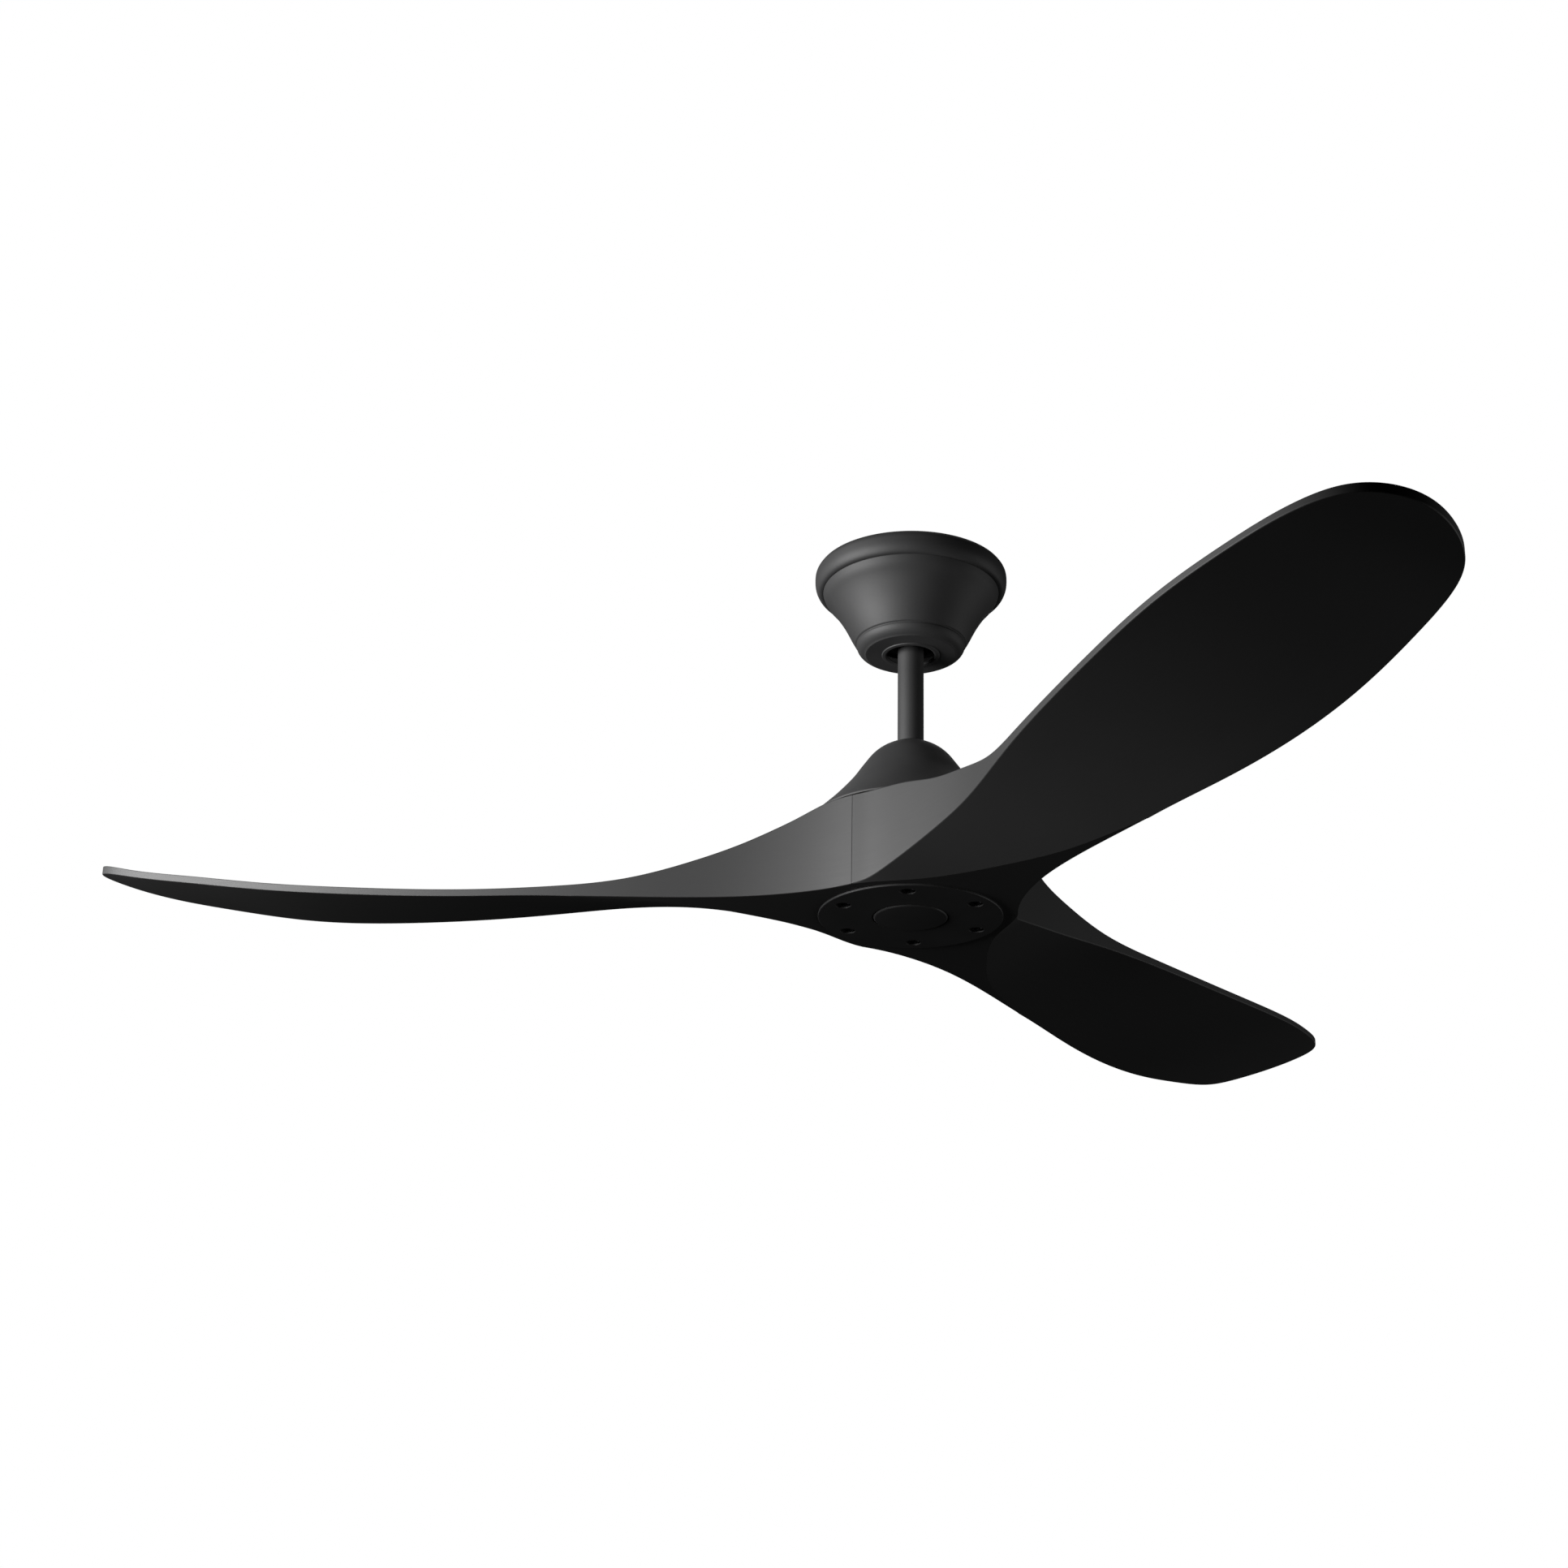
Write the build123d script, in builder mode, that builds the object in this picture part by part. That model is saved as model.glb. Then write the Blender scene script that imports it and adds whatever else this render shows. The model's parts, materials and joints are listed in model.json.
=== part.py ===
from build123d import *
import os
from math import cos, sin, tan, radians

os.makedirs("parts", exist_ok=True)

# ---------------------------------------------------------------------------
# Three-blade carved propeller ceiling fan, 1324 mm sweep, on a short downrod.
# Frame: origin on the ceiling plane, on the fan's axis; +Z up, so the whole
# fan hangs at negative Z. The motor shaft and the downrod are on the Z axis.
# Heights inside the fan are counted up from the flat underside of the hub,
# which lies DROP below the ceiling.
# ---------------------------------------------------------------------------
DROP = 304.0                      # ceiling plane to the flat underside of the hub
SWEEP_R = 662.0                   # blade tip radius, 52 in class fan
BLADE_AZ = [177.9, 297.9, 57.9]   # blade axes seen from above, anticlockwise from +X

# downrod, 1/2 in pipe
ROD_R = 10.65
ROD_BORE_R = 8.9

# canopy
CAN_WALL = 1.2
RING_R = 79.7
CAN_TOP_R = 73.0
CAN_HOLE_R = 19.4

# hanger ball
BALL_H = 255.0                    # height of the ball centre above the hub underside
BALL_R = 27.0
SEAT_R = BALL_R + 0.06

# bell housing and motor
MOTOR_R = 66.0
POCKET_R = 68.3
SHAFT_R = 8.5
BRG_OD_R = 20.0
BRG_W = 12.0
BRG_PITCH_R = 14.25
BRG_BALL_R = 3.3
BRG_GROOVE_R = 3.37

# underside plate
PLATE_R = 73.3
PLATE_T = 5.0
PLATE_PROUD = 1.6
SCREW_PCR = 59.6
CAP_R = 29.4


def at(h):
    """Z of a height h above the hub underside."""
    return h - DROP


# ---------------------------------------------------------------------------
# Blades. r runs out along the blade, s across it towards the high, leading
# edge. Rows: r, s of the high edge, s of the low edge, height of the bottom
# skin at the high edge, s and height of the inner end of the pitched bottom
# skin, top heights at the high and the low edge, crown of the top skin,
# hollow of the bottom skin.
# ---------------------------------------------------------------------------
BLADE = [
    #  r     sH     sL     zH     sC      zC    tH     tL    crown hollow
    ( -25,  86.0, -92.0, -14.0,  104.0,  -7.0,  74.6,  75.0,  0.0, 0.0),
    (   5,  78.6, -83.3,  -9.0,   90.0,  -3.6,  74.4,  74.7,  0.0, 0.0),
    (  40,  68.7, -71.7,  -3.1,   75.2,   0.0,  74.1,  74.2,  0.2, 0.0),
    (  65,  61.9, -63.4,   5.1,   47.6,   0.0,  73.7,  71.3,  2.0, 0.0),
    (  90,  55.2, -55.0,  11.4,   20.8,   0.0,  71.2,  61.4,  6.5, 0.0),
    ( 125,  50.2, -48.1,  18.9,   -4.0,   0.0,  62.6,  47.0,  5.5, 0.0),
    ( 170,  47.7, -47.2,  25.2,  -28.0,   0.0,  53.9,  30.4,  3.5, 0.5),
    ( 220,  54.9, -49.8,  29.2,  -43.0,   0.0,  42.8,  16.2,  2.2, 1.0),
    ( 280,  67.6, -54.3,  29.7,  -54.3,  -0.1,  36.6,   8.2,  1.8, 1.4),
    ( 350,  80.1, -58.3,  28.8,  -58.3,  -1.2,  34.6,   4.7,  1.6, 1.6),
    ( 430,  90.5, -61.9,  29.9,  -61.9,  -0.4,  35.4,   5.6,  1.5, 1.6),
    ( 510,  93.0, -58.8,  34.0,  -58.8,   5.7,  39.2,  11.7,  1.4, 1.5),
    ( 575,  83.0, -52.9,  40.6,  -52.9,  14.6,  45.8,  20.7,  1.3, 1.3),
    ( 625,  68.4, -42.4,  46.3,  -42.4,  24.2,  51.8,  30.3,  1.2, 1.0),
    ( 662,  60.0, -40.0,  52.6,  -40.0,  33.2,  59.2,  40.2,  0.8, 0.6),
    ( 690,  60.0, -40.0,  58.6,  -40.0,  39.6,  65.8,  47.2,  0.6, 0.4),
]
HALF_CHORD = 112.0                # the skins are lofted this wide and trimmed to plan

# plan outline of one blade: (r, s) round the tip, from the root's high edge
# to the root's low edge
OUTLINE = [
    (0, 103), (20, 88.5), (36, 77.9), (42.6, 73.8), (48, 70.3), (55, 66.2), (65, 62.0), (90, 55.5),
    (125, 49.9), (170, 48.2),
    (220, 55.0), (280, 67.6), (350, 80.2), (430, 90.3), (510, 93.3),
    (575.2, 83.9), (614.6, 73.4), (645.7, 54.3), (659.2, 30.2), (661.5, 5.9),
    (654.3, -16.8), (637.9, -36.3), (608.4, -47.2), (575, -52.4), (510, -58.8),
    (430, -61.3), (350, -58.4), (280, -54.3), (220, -49.9), (170, -47.2),
    (125, -48.6), (90, -54.6), (67, -61.7), (51, -69.0), (42.6, -73.8), (36, -77.8), (20, -88.0), (0, -102),
]
SEAM_GAP = 0.2                    # half of the gap between two blades at the hub
CREASE_END = 262.0                # the flat hub underside ends inside this radius


def skin_points(row):
    r, sh, sl, zh, sc, zc, th, tl, crown, hollow = row
    k = (zh - zc) / (sh - sc)
    mid = 0.5 * (sh + sl)
    hw = 0.5 * (sh - sl)
    kt = (th - tl) / (sh - sl)
    low, top = [], []
    for i in range(7):
        s = -HALF_CHORD + 2 * HALF_CHORD * i / 6
        u = (s - mid) / hw
        g = 1 - u * u
        low.append((s, zc + k * (s - sc) + hollow * max(g, -0.6)))
        top.append((s, tl + kt * (s - sl) + crown * max(g, -1.2)))
    return low, top


with BuildPart() as blank:
    for row in BLADE:
        low, top = skin_points(row)
        with BuildSketch(Plane(origin=(row[0], 0, at(0)), x_dir=(0, -1, 0), z_dir=(-1, 0, 0))):
            with BuildLine():
                Spline(*low)
                Line(low[-1], top[-1])
                Spline(*reversed(top))
                Line(top[0], low[0])
            make_face()
    loft()
    # the side walls are vertical: trim to the plan outline
    with BuildSketch(Plane.XY.offset(at(-30))):
        with BuildLine():
            Spline(*[(r, -s) for r, s in OUTLINE])
            Line((OUTLINE[-1][0], -OUTLINE[-1][1]), (OUTLINE[0][0], -OUTLINE[0][1]))
        make_face()
    extrude(amount=150, mode=Mode.INTERSECT)
    # flat hub underside
    with BuildSketch(Plane.XY.offset(at(-60))):
        with Locations((CREASE_END / 2 - 60, 0)):
            Rectangle(CREASE_END + 120, 260)
    extrude(amount=60, mode=Mode.SUBTRACT)
    # 120 degree root wedge, with the seam gap
    with BuildSketch(Plane.XY.offset(at(-40))):
        with BuildLine():
            a = SEAM_GAP / sin(radians(60))
            Polyline((a, 0), (a + 250, 250 * tan(radians(60))), (900, 250 * tan(radians(60))),
                     (900, -250 * tan(radians(60))), (a + 250, -250 * tan(radians(60))), (a, 0))
        make_face()
    extrude(amount=170, mode=Mode.INTERSECT)
    # motor pocket, open at the top
    with BuildSketch(Plane.XY.offset(at(12))):
        Circle(POCKET_R)
    extrude(amount=120, mode=Mode.SUBTRACT)
    # recess for the underside plate, and the centre opening
    with BuildSketch(Plane.XY.offset(at(-1))):
        Circle(PLATE_R + 0.3)
    extrude(amount=1 + PLATE_T - PLATE_PROUD, mode=Mode.SUBTRACT)
    with BuildSketch(Plane.XY.offset(at(-1))):
        Circle(26.5)
    extrude(amount=20, mode=Mode.SUBTRACT)
    # two clearance holes for the hub screws
    with BuildSketch(Plane.XY.offset(at(-1))):
        with Locations(*[(SCREW_PCR * cos(radians(t)), SCREW_PCR * sin(radians(t))) for t in (-30, 30)]):
            Circle(3.0)
    extrude(amount=20, mode=Mode.SUBTRACT)

print("blade blank", blank.part.volume, len(blank.part.solids()), blank.part.is_valid)

with BuildPart() as blade_left:
    add(blank.part.rotate(Axis.Z, BLADE_AZ[0]))
with BuildPart() as blade_near:
    add(blank.part.rotate(Axis.Z, BLADE_AZ[1]))
with BuildPart() as blade_far:
    add(blank.part.rotate(Axis.Z, BLADE_AZ[2]))

# ---------------------------------------------------------------------------
# Underside plate, hub screws and centre cap (turn with the blades)
# ---------------------------------------------------------------------------
screw_az = [BLADE_AZ[0] + 30 + 60 * i for i in range(6)]
screw_xy = [(SCREW_PCR * cos(radians(t)), SCREW_PCR * sin(radians(t))) for t in screw_az]

with BuildPart() as hub_plate:
    with BuildSketch(Plane.XY.offset(at(-PLATE_PROUD))):
        Circle(PLATE_R)
        with Locations(*screw_xy):
            Circle(2.75, mode=Mode.SUBTRACT)
        Circle(22.0, mode=Mode.SUBTRACT)
    extrude(amount=PLATE_T)
    with BuildSketch(Plane.XY.offset(at(-PLATE_PROUD))):
        with Locations(*screw_xy):
            Circle(6.1)
    extrude(amount=3.0, mode=Mode.SUBTRACT)
    with BuildSketch(Plane.XY.offset(at(-PLATE_PROUD))):
        Circle(CAP_R + 1.0)
    extrude(amount=1.2, mode=Mode.SUBTRACT)
    chamfer(hub_plate.edges().filter_by(GeomType.CIRCLE).group_by(Axis.Z)[0].sort_by(SortBy.RADIUS)[-1], 0.4)

with BuildPart() as hub_screws:
    with BuildSketch(Plane.XY.offset(at(-1.0))):
        with Locations(*screw_xy):
            Circle(4.7)
    extrude(amount=2.4)
    with BuildSketch(Plane.XY.offset(at(1.4))):
        with Locations(*screw_xy):
            Circle(2.45)
    extrude(amount=16.1)
    with BuildSketch(Plane.XY.offset(at(-1.0))):
        with Locations(*screw_xy):
            RegularPolygon(radius=2.3, side_count=6)
    extrude(amount=1.7, mode=Mode.SUBTRACT)

with BuildPart() as centre_cap:
    with BuildSketch(Plane.XZ):
        with BuildLine():
            Polyline((0, at(-3.0)), (14.0, at(-2.9)), (22.0, at(-2.7)), (CAP_R - 1.1, at(-2.4)), (CAP_R, at(-1.5)), (CAP_R, at(-0.4)),
                     (21.8, at(-0.4)), (21.8, at(5.0)), (20.4, at(5.0)), (20.4, at(-0.6)), (0, at(-0.6)), (0, at(-3.0)))
        make_face()
    revolve(axis=Axis.Z)

# rubber gasket between the blade roots and the motor
with BuildPart() as motor_gasket:
    with BuildSketch(Plane.XY.offset(at(12.0))):
        Circle(65.5)
        Circle(52.0, mode=Mode.SUBTRACT)
        with Locations(*screw_xy):
            Circle(3.0, mode=Mode.SUBTRACT)
    extrude(amount=1.0)

# ---------------------------------------------------------------------------
# Outer-rotor motor
# ---------------------------------------------------------------------------
with BuildPart() as rotor_cup:
    with BuildSketch(Plane.XZ):
        with BuildLine():
            Polyline((13.0, at(13)), (MOTOR_R - 1.5, at(13)), (MOTOR_R, at(14.5)), (MOTOR_R, at(56)), (61.5, at(56)),
                     (61.5, at(21)), (59.0, at(19)), (25.0, at(19)), (25.0, at(28)), (BRG_OD_R, at(28)),
                     (BRG_OD_R, at(16)), (13.0, at(16)), (13.0, at(13)))
        make_face()
    revolve(axis=Axis.Z)
    # tapped holes for the hub screws
    with BuildSketch(Plane.XY.offset(at(12))):
        with Locations(*screw_xy):
            Circle(2.5)
    extrude(amount=8, mode=Mode.SUBTRACT)
    # tapped holes for the shell screws, in the rim
    with BuildSketch(Plane.XY.offset(at(46))):
        with PolarLocations(63.75, 6, start_angle=10):
            Circle(1.45)
    extrude(amount=12, mode=Mode.SUBTRACT)

with BuildPart() as rotor_cover:
    with BuildSketch(Plane.XZ):
        with BuildLine():
            Polyline((13.0, at(60)), (57.5, at(60)), (57.5, at(56)), (MOTOR_R, at(56)), (MOTOR_R, at(62)), (64.0, at(64)),
                     (27.0, at(67)), (25.0, at(69)), (25.0, at(75)), (BRG_OD_R, at(75)), (BRG_OD_R, at(62)), (13.0, at(62)), (13.0, at(60)))
        make_face()
    revolve(axis=Axis.Z)
    with BuildSketch(Plane.XY.offset(at(55))):
        with PolarLocations(63.75, 6, start_angle=10):
            Circle(1.7)
    extrude(amount=12, mode=Mode.SUBTRACT)
    with BuildSketch(Plane.XY.offset(at(60.5))):
        with PolarLocations(63.75, 6, start_angle=10):
            Circle(3.1)
    extrude(amount=8, mode=Mode.SUBTRACT)
    # cooling slots
    with BuildSketch(Plane.XY.offset(at(59))):
        with PolarLocations(40, 12):
            SlotCenterToCenter(18, 5)
    extrude(amount=10, mode=Mode.SUBTRACT)

with BuildPart() as rotor_cover_screws:
    with BuildSketch(Plane.XY.offset(at(47))):
        with PolarLocations(63.75, 6, start_angle=10):
            Circle(1.4)
    extrude(amount=13.5)
    with BuildSketch(Plane.XY.offset(at(60.5))):
        with PolarLocations(63.75, 6, start_angle=10):
            Circle(2.7)
    extrude(amount=1.8)

# sixteen ring-segment magnets inside the cup
with BuildPart() as rotor_magnets:
    with BuildSketch(Plane.XY.offset(at(30))):
        Circle(61.5)
        Circle(56.4, mode=Mode.SUBTRACT)
        with PolarLocations(59.0, 16):
            Rectangle(12, 1.2, mode=Mode.SUBTRACT)
    extrude(amount=24)


def bearing_inner(h):
    z0, zc = at(h), at(h + BRG_W / 2)
    with BuildPart() as b:
        with BuildSketch(Plane.XY.offset(z0)):
            Circle(11.6)
            Circle(SHAFT_R, mode=Mode.SUBTRACT)
        extrude(amount=BRG_W)
        with BuildSketch(Plane.XZ):
            with Locations((BRG_PITCH_R, zc)):
                Circle(BRG_GROOVE_R)
        revolve(axis=Axis.Z, mode=Mode.SUBTRACT)
    return b


def bearing_outer(h):
    z0, zc = at(h), at(h + BRG_W / 2)
    with BuildPart() as b:
        with BuildSketch(Plane.XY.offset(z0)):
            Circle(BRG_OD_R)
            Circle(16.9, mode=Mode.SUBTRACT)
        extrude(amount=BRG_W)
        with BuildSketch(Plane.XZ):
            with Locations((BRG_PITCH_R, zc)):
                Circle(BRG_GROOVE_R)
        revolve(axis=Axis.Z, mode=Mode.SUBTRACT)
    return b


def bearing_balls(h):
    with BuildPart() as b:
        with Locations(*[(BRG_PITCH_R * cos(radians(45 * i)), BRG_PITCH_R * sin(radians(45 * i)), at(h + BRG_W / 2)) for i in range(8)]):
            Sphere(BRG_BALL_R)
    return b


def bearing_cage(h):
    zc = at(h + BRG_W / 2)
    with BuildPart() as b:
        with BuildSketch(Plane.XY.offset(zc - 1.6)):
            Circle(BRG_PITCH_R + 1.3)
            Circle(BRG_PITCH_R - 1.3, mode=Mode.SUBTRACT)
        extrude(amount=5.4)
        with Locations(*[(BRG_PITCH_R * cos(radians(45 * i)), BRG_PITCH_R * sin(radians(45 * i)), zc) for i in range(8)]):
            Sphere(BRG_BALL_R + 0.12, mode=Mode.SUBTRACT)
    return b


LOW_BRG = 16.0
UP_BRG = 62.0
lower_bearing_inner = bearing_inner(LOW_BRG)
lower_bearing_outer = bearing_outer(LOW_BRG)
lower_bearing_balls = bearing_balls(LOW_BRG)
lower_bearing_cage = bearing_cage(LOW_BRG)
upper_bearing_inner = bearing_inner(UP_BRG)
upper_bearing_outer = bearing_outer(UP_BRG)
upper_bearing_balls = bearing_balls(UP_BRG)
upper_bearing_cage = bearing_cage(UP_BRG)

# hollow fixed shaft, grooved for the circlip
with BuildPart() as motor_shaft:
    with BuildSketch(Plane.XZ):
        with BuildLine():
            Polyline((0, at(13.6)), (7.6, at(13.6)), (SHAFT_R, at(14.2)), (SHAFT_R, at(14.6)), (7.8, at(14.6)), (7.8, at(15.8)),
                     (SHAFT_R, at(15.8)), (SHAFT_R, at(100)), (4.6, at(100)), (4.6, at(46)), (0, at(44)), (0, at(13.6)))
        make_face()
    revolve(axis=Axis.Z)
    # side slot where the leads leave the shaft
    with Locations((7, 0, at(56.5))):
        Box(8, 5, 8, mode=Mode.SUBTRACT)

with BuildPart() as shaft_circlip:
    with BuildSketch(Plane.XY.offset(at(14.65))):
        Circle(10.6)
        Circle(7.85, mode=Mode.SUBTRACT)
        with Locations((9.5, 0)):
            Rectangle(7, 4, mode=Mode.SUBTRACT)
    extrude(amount=1.1)

# aluminium stator hub pressed on the shaft
with BuildPart() as stator_hub:
    with BuildSketch(Plane.XZ):
        with BuildLine():
            Polyline((SHAFT_R, at(29)), (13, at(29)), (20, at(31)), (20, at(54)), (23.5, at(54)), (23.5, at(56.8)), (SHAFT_R, at(56.8)), (SHAFT_R, at(29)))
        make_face()
    revolve(axis=Axis.Z)
    with Locations((7, 0, at(56.5))):
        Box(34, 5, 8, mode=Mode.SUBTRACT)

# laminated stator core with twelve teeth
with BuildPart() as stator_core:
    with BuildSketch(Plane.XY.offset(at(32))):
        Circle(28.5)
        with PolarLocations(0, 12):
            with Locations((41, 0)):
                Rectangle(28, 7.0)
        with BuildSketch(mode=Mode.PRIVATE) as shoes:
            Circle(55.4)
            Circle(51.2, mode=Mode.SUBTRACT)
            with PolarLocations(0, 12, start_angle=15):
                with Locations((53.5, 0)):
                    Rectangle(8, 4.2, mode=Mode.SUBTRACT)
        add(shoes.sketch)
        Circle(20.0, mode=Mode.SUBTRACT)
    extrude(amount=20)

# twelve copper coils, one round each tooth
with BuildPart() as stator_windings:
    for i in range(12):
        a = 30 * i
        with BuildSketch(Plane(origin=(30.5 * cos(radians(a)), 30.5 * sin(radians(a)), at(42)),
                               x_dir=(-sin(radians(a)), cos(radians(a)), 0), z_dir=(cos(radians(a)), sin(radians(a)), 0))):
            RectangleRounded(13.4, 27.0, 3.4)
            Rectangle(7.2, 20.2, mode=Mode.SUBTRACT)
        extrude(amount=19.5)

with BuildPart() as motor_board:
    with BuildSketch(Plane.XY.offset(at(56.8))):
        Circle(50)
        Circle(12.0, mode=Mode.SUBTRACT)
        with PolarLocations(45, 3, start_angle=30):
            Circle(1.6, mode=Mode.SUBTRACT)
    extrude(amount=1.6)
    # three Hall sensors and a driver chip on the lower face
    with BuildSketch(Plane.XY.offset(at(56.8))):
        with PolarLocations(28.5, 3, start_angle=75):
            Rectangle(5, 4)
    extrude(amount=-0.6)

with BuildPart() as shaft_spacer:
    with BuildSketch(Plane.XY.offset(at(74))):
        Circle(11.2)
        Circle(SHAFT_R, mode=Mode.SUBTRACT)
    extrude(amount=12)

# ---------------------------------------------------------------------------
# Coupling yoke, its pins and screws, and the bell housing
# ---------------------------------------------------------------------------
YOKE_TOP = 132.0
PIN_H = 119.0
with BuildPart() as coupling_yoke:
    with BuildSketch(Plane.XZ):
        with BuildLine():
            Polyline((SHAFT_R, at(86)), (17, at(86)), (18.5, at(88)), (18.5, at(96)), (25, at(99)), (25, at(103)), (17, at(103)),
                     (17, at(YOKE_TOP - 2)), (15.5, at(YOKE_TOP)), (ROD_R, at(YOKE_TOP)), (ROD_R, at(101)), (SHAFT_R, at(101)), (SHAFT_R, at(86)))
        make_face()
    revolve(axis=Axis.Z)
    # clevis pin hole, through along X
    with BuildSketch(Plane.YZ.offset(-30)):
        with Locations((0, at(PIN_H))):
            Circle(3.05)
    extrude(amount=60, mode=Mode.SUBTRACT)
    # set screw holes: rod screw on -Y, shaft screw on +Y
    with BuildSketch(Plane.XZ):
        with Locations((0, at(126.5))):
            Circle(2.5)
    extrude(amount=30, mode=Mode.SUBTRACT)
    with BuildSketch(Plane.XZ):
        with Locations((0, at(92))):
            Circle(2.5)
    extrude(amount=-30, mode=Mode.SUBTRACT)
    # three tapped holes in the flange for the bell bracket
    with BuildSketch(Plane.XY.offset(at(97))):
        with PolarLocations(21.8, 3, start_angle=30):
            Circle(1.45)
    extrude(amount=8, mode=Mode.SUBTRACT)

with BuildPart() as yoke_set_screws:
    with BuildSketch(Plane.XZ.offset(ROD_R)):
        with Locations((0, at(126.5))):
            Circle(2.45)
    extrude(amount=8)
    with BuildSketch(Plane.XZ.offset(-SHAFT_R)):
        with Locations((0, at(92))):
            Circle(2.45)
    extrude(amount=-12)
    with BuildSketch(Plane.XZ.offset(ROD_R + 8)):
        with Locations((0, at(126.5))):
            RegularPolygon(radius=1.5, side_count=6)
    extrude(amount=-2.5, mode=Mode.SUBTRACT)
    with BuildSketch(Plane.XZ.offset(-SHAFT_R - 12)):
        with Locations((0, at(92))):
            RegularPolygon(radius=1.5, side_count=6)
    extrude(amount=2.5, mode=Mode.SUBTRACT)

with BuildPart() as clevis_pin:
    with BuildSketch(Plane.YZ.offset(-19)):
        with Locations((0, at(PIN_H))):
            Circle(3.0)
    extrude(amount=43)
    with BuildSketch(Plane.YZ.offset(-19)):
        with Locations((0, at(PIN_H))):
            Circle(5.0)
    extrude(amount=-2.0)
    # cross hole for the cotter
    with BuildSketch(Plane.XY.offset(at(PIN_H - 5))):
        with Locations((21, 0)):
            Circle(1.0)
    extrude(amount=10, mode=Mode.SUBTRACT)

# hairpin cotter through the end of the clevis pin
with BuildPart() as cotter_pin:
    with BuildLine() as cotter_path:
        FilletPolyline((21, 0, at(PIN_H - 9)), (21, 0, at(PIN_H + 9)), (26.0, 0, at(PIN_H + 9)), (26.0, 0, at(PIN_H - 9)), radius=2.3)
    with BuildSketch(Plane(origin=(21, 0, at(PIN_H - 9)), z_dir=(0, 0, 1))):
        Circle(0.85)
    sweep()

# three-arm bracket that carries the bell from the yoke flange
with BuildPart() as bell_bracket:
    with BuildSketch(Plane.XY.offset(at(103.05))):
        Circle(25.0)
        with PolarLocations(0, 3, start_angle=30):
            with Locations((37, 0)):
                Rectangle(26, 14)
        Circle(17.2, mode=Mode.SUBTRACT)
        with PolarLocations(21.8, 3, start_angle=30):
            Circle(1.7, mode=Mode.SUBTRACT)
    extrude(amount=1.6)
    for i in range(3):
        a = radians(30 + 120 * i)
        with BuildSketch(Plane(origin=(49.2 * cos(a), 49.2 * sin(a), at(98)), x_dir=(-sin(a), cos(a), 0), z_dir=(cos(a), sin(a), 0))):
            Rectangle(14, 13.3)
        extrude(amount=1.6)

with BuildPart() as bell_bracket_screws:
    with BuildSketch(Plane.XY.offset(at(97.5))):
        with PolarLocations(21.8, 3, start_angle=30):
            Circle(1.4)
    extrude(amount=7.15)
    with BuildSketch(Plane.XY.offset(at(104.65))):
        with PolarLocations(21.8, 3, start_angle=30):
            Circle(2.8)
    extrude(amount=1.8)

# bell housing: outer profile (radius, height)
BELL = [(79.7, 78.7), (76.3, 82.0), (72.0, 86.2), (66.2, 92.0), (60.6, 98.0), (55.3, 104.0), (50.3, 110.0), (45.8, 116.0),
        (41.8, 122.0), (37.6, 128.0), (33.2, 134.0), (29.2, 138.2), (24.6, 141.8), (19.5, 144.8), (14.5, 147.3), (11.05, 148.9)]
BELL_IN = [(78.3, 78.5), (75.2, 81.3), (70.9, 85.4), (65.1, 91.2), (59.5, 97.2), (54.2, 103.2), (49.2, 109.2), (44.7, 115.2),
           (40.7, 121.2), (36.6, 127.0), (32.4, 132.8), (28.5, 137.0), (24.0, 140.5), (19.0, 143.4), (14.0, 145.9), (11.05, 147.4)]
with BuildPart() as bell_housing:
    with BuildSketch(Plane.XZ):
        with BuildLine():
            Spline(*[(r, at(h)) for r, h in BELL])
            Line((11.05, at(148.9)), (11.05, at(147.4)))
            Spline(*[(r, at(h)) for r, h in reversed(BELL_IN)])
            Polyline((78.3, at(78.5)), (78.3, at(77.2)), (79.7, at(77.2)), (79.7, at(78.7)))
        make_face()
    revolve(axis=Axis.Z)

# ---------------------------------------------------------------------------
# Downrod and hanger ball
# ---------------------------------------------------------------------------
ROD_LOW = 101.2
ROD_HIGH = 276.0
with BuildPart() as downrod:
    with BuildSketch(Plane.XY.offset(at(ROD_LOW))):
        Circle(ROD_R)
        Circle(ROD_BORE_R, mode=Mode.SUBTRACT)
    extrude(amount=ROD_HIGH - ROD_LOW)
    with BuildSketch(Plane.YZ.offset(-20)):
        with Locations((0, at(PIN_H)), (0, at(267))):
            Circle(3.05)
    extrude(amount=40, mode=Mode.SUBTRACT)

with BuildPart() as hanger_ball:
    with Locations((0, 0, at(BALL_H))):
        Sphere(BALL_R)
    # flats at the bottom and top
    with Locations((0, 0, at(236) - 10)):
        Box(80, 80, 20, mode=Mode.SUBTRACT)
    with Locations((0, 0, at(274) + 10)):
        Box(80, 80, 20, mode=Mode.SUBTRACT)
    with Locations((0, 0, at(BALL_H))):
        Cylinder(ROD_R, 60, mode=Mode.SUBTRACT)
    # channel for the cross pin
    with Locations((0, 0, at(264) + 10)):
        Box(60, 6.4, 20, mode=Mode.SUBTRACT)
    # key groove on +Y
    with Locations((0, 16 + 10, at(BALL_H))):
        Box(6.4, 20, 60, mode=Mode.SUBTRACT)
    # set screw hole on -Y
    with BuildSketch(Plane.XZ):
        with Locations((0, at(258))):
            Circle(2.5)
    extrude(amount=40, mode=Mode.SUBTRACT)

with BuildPart() as ball_cross_pin:
    with BuildSketch(Plane.YZ.offset(-22)):
        with Locations((0, at(267))):
            Circle(3.0)
    extrude(amount=44)
    chamfer(ball_cross_pin.edges().filter_by(GeomType.CIRCLE), 0.6)

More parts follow.
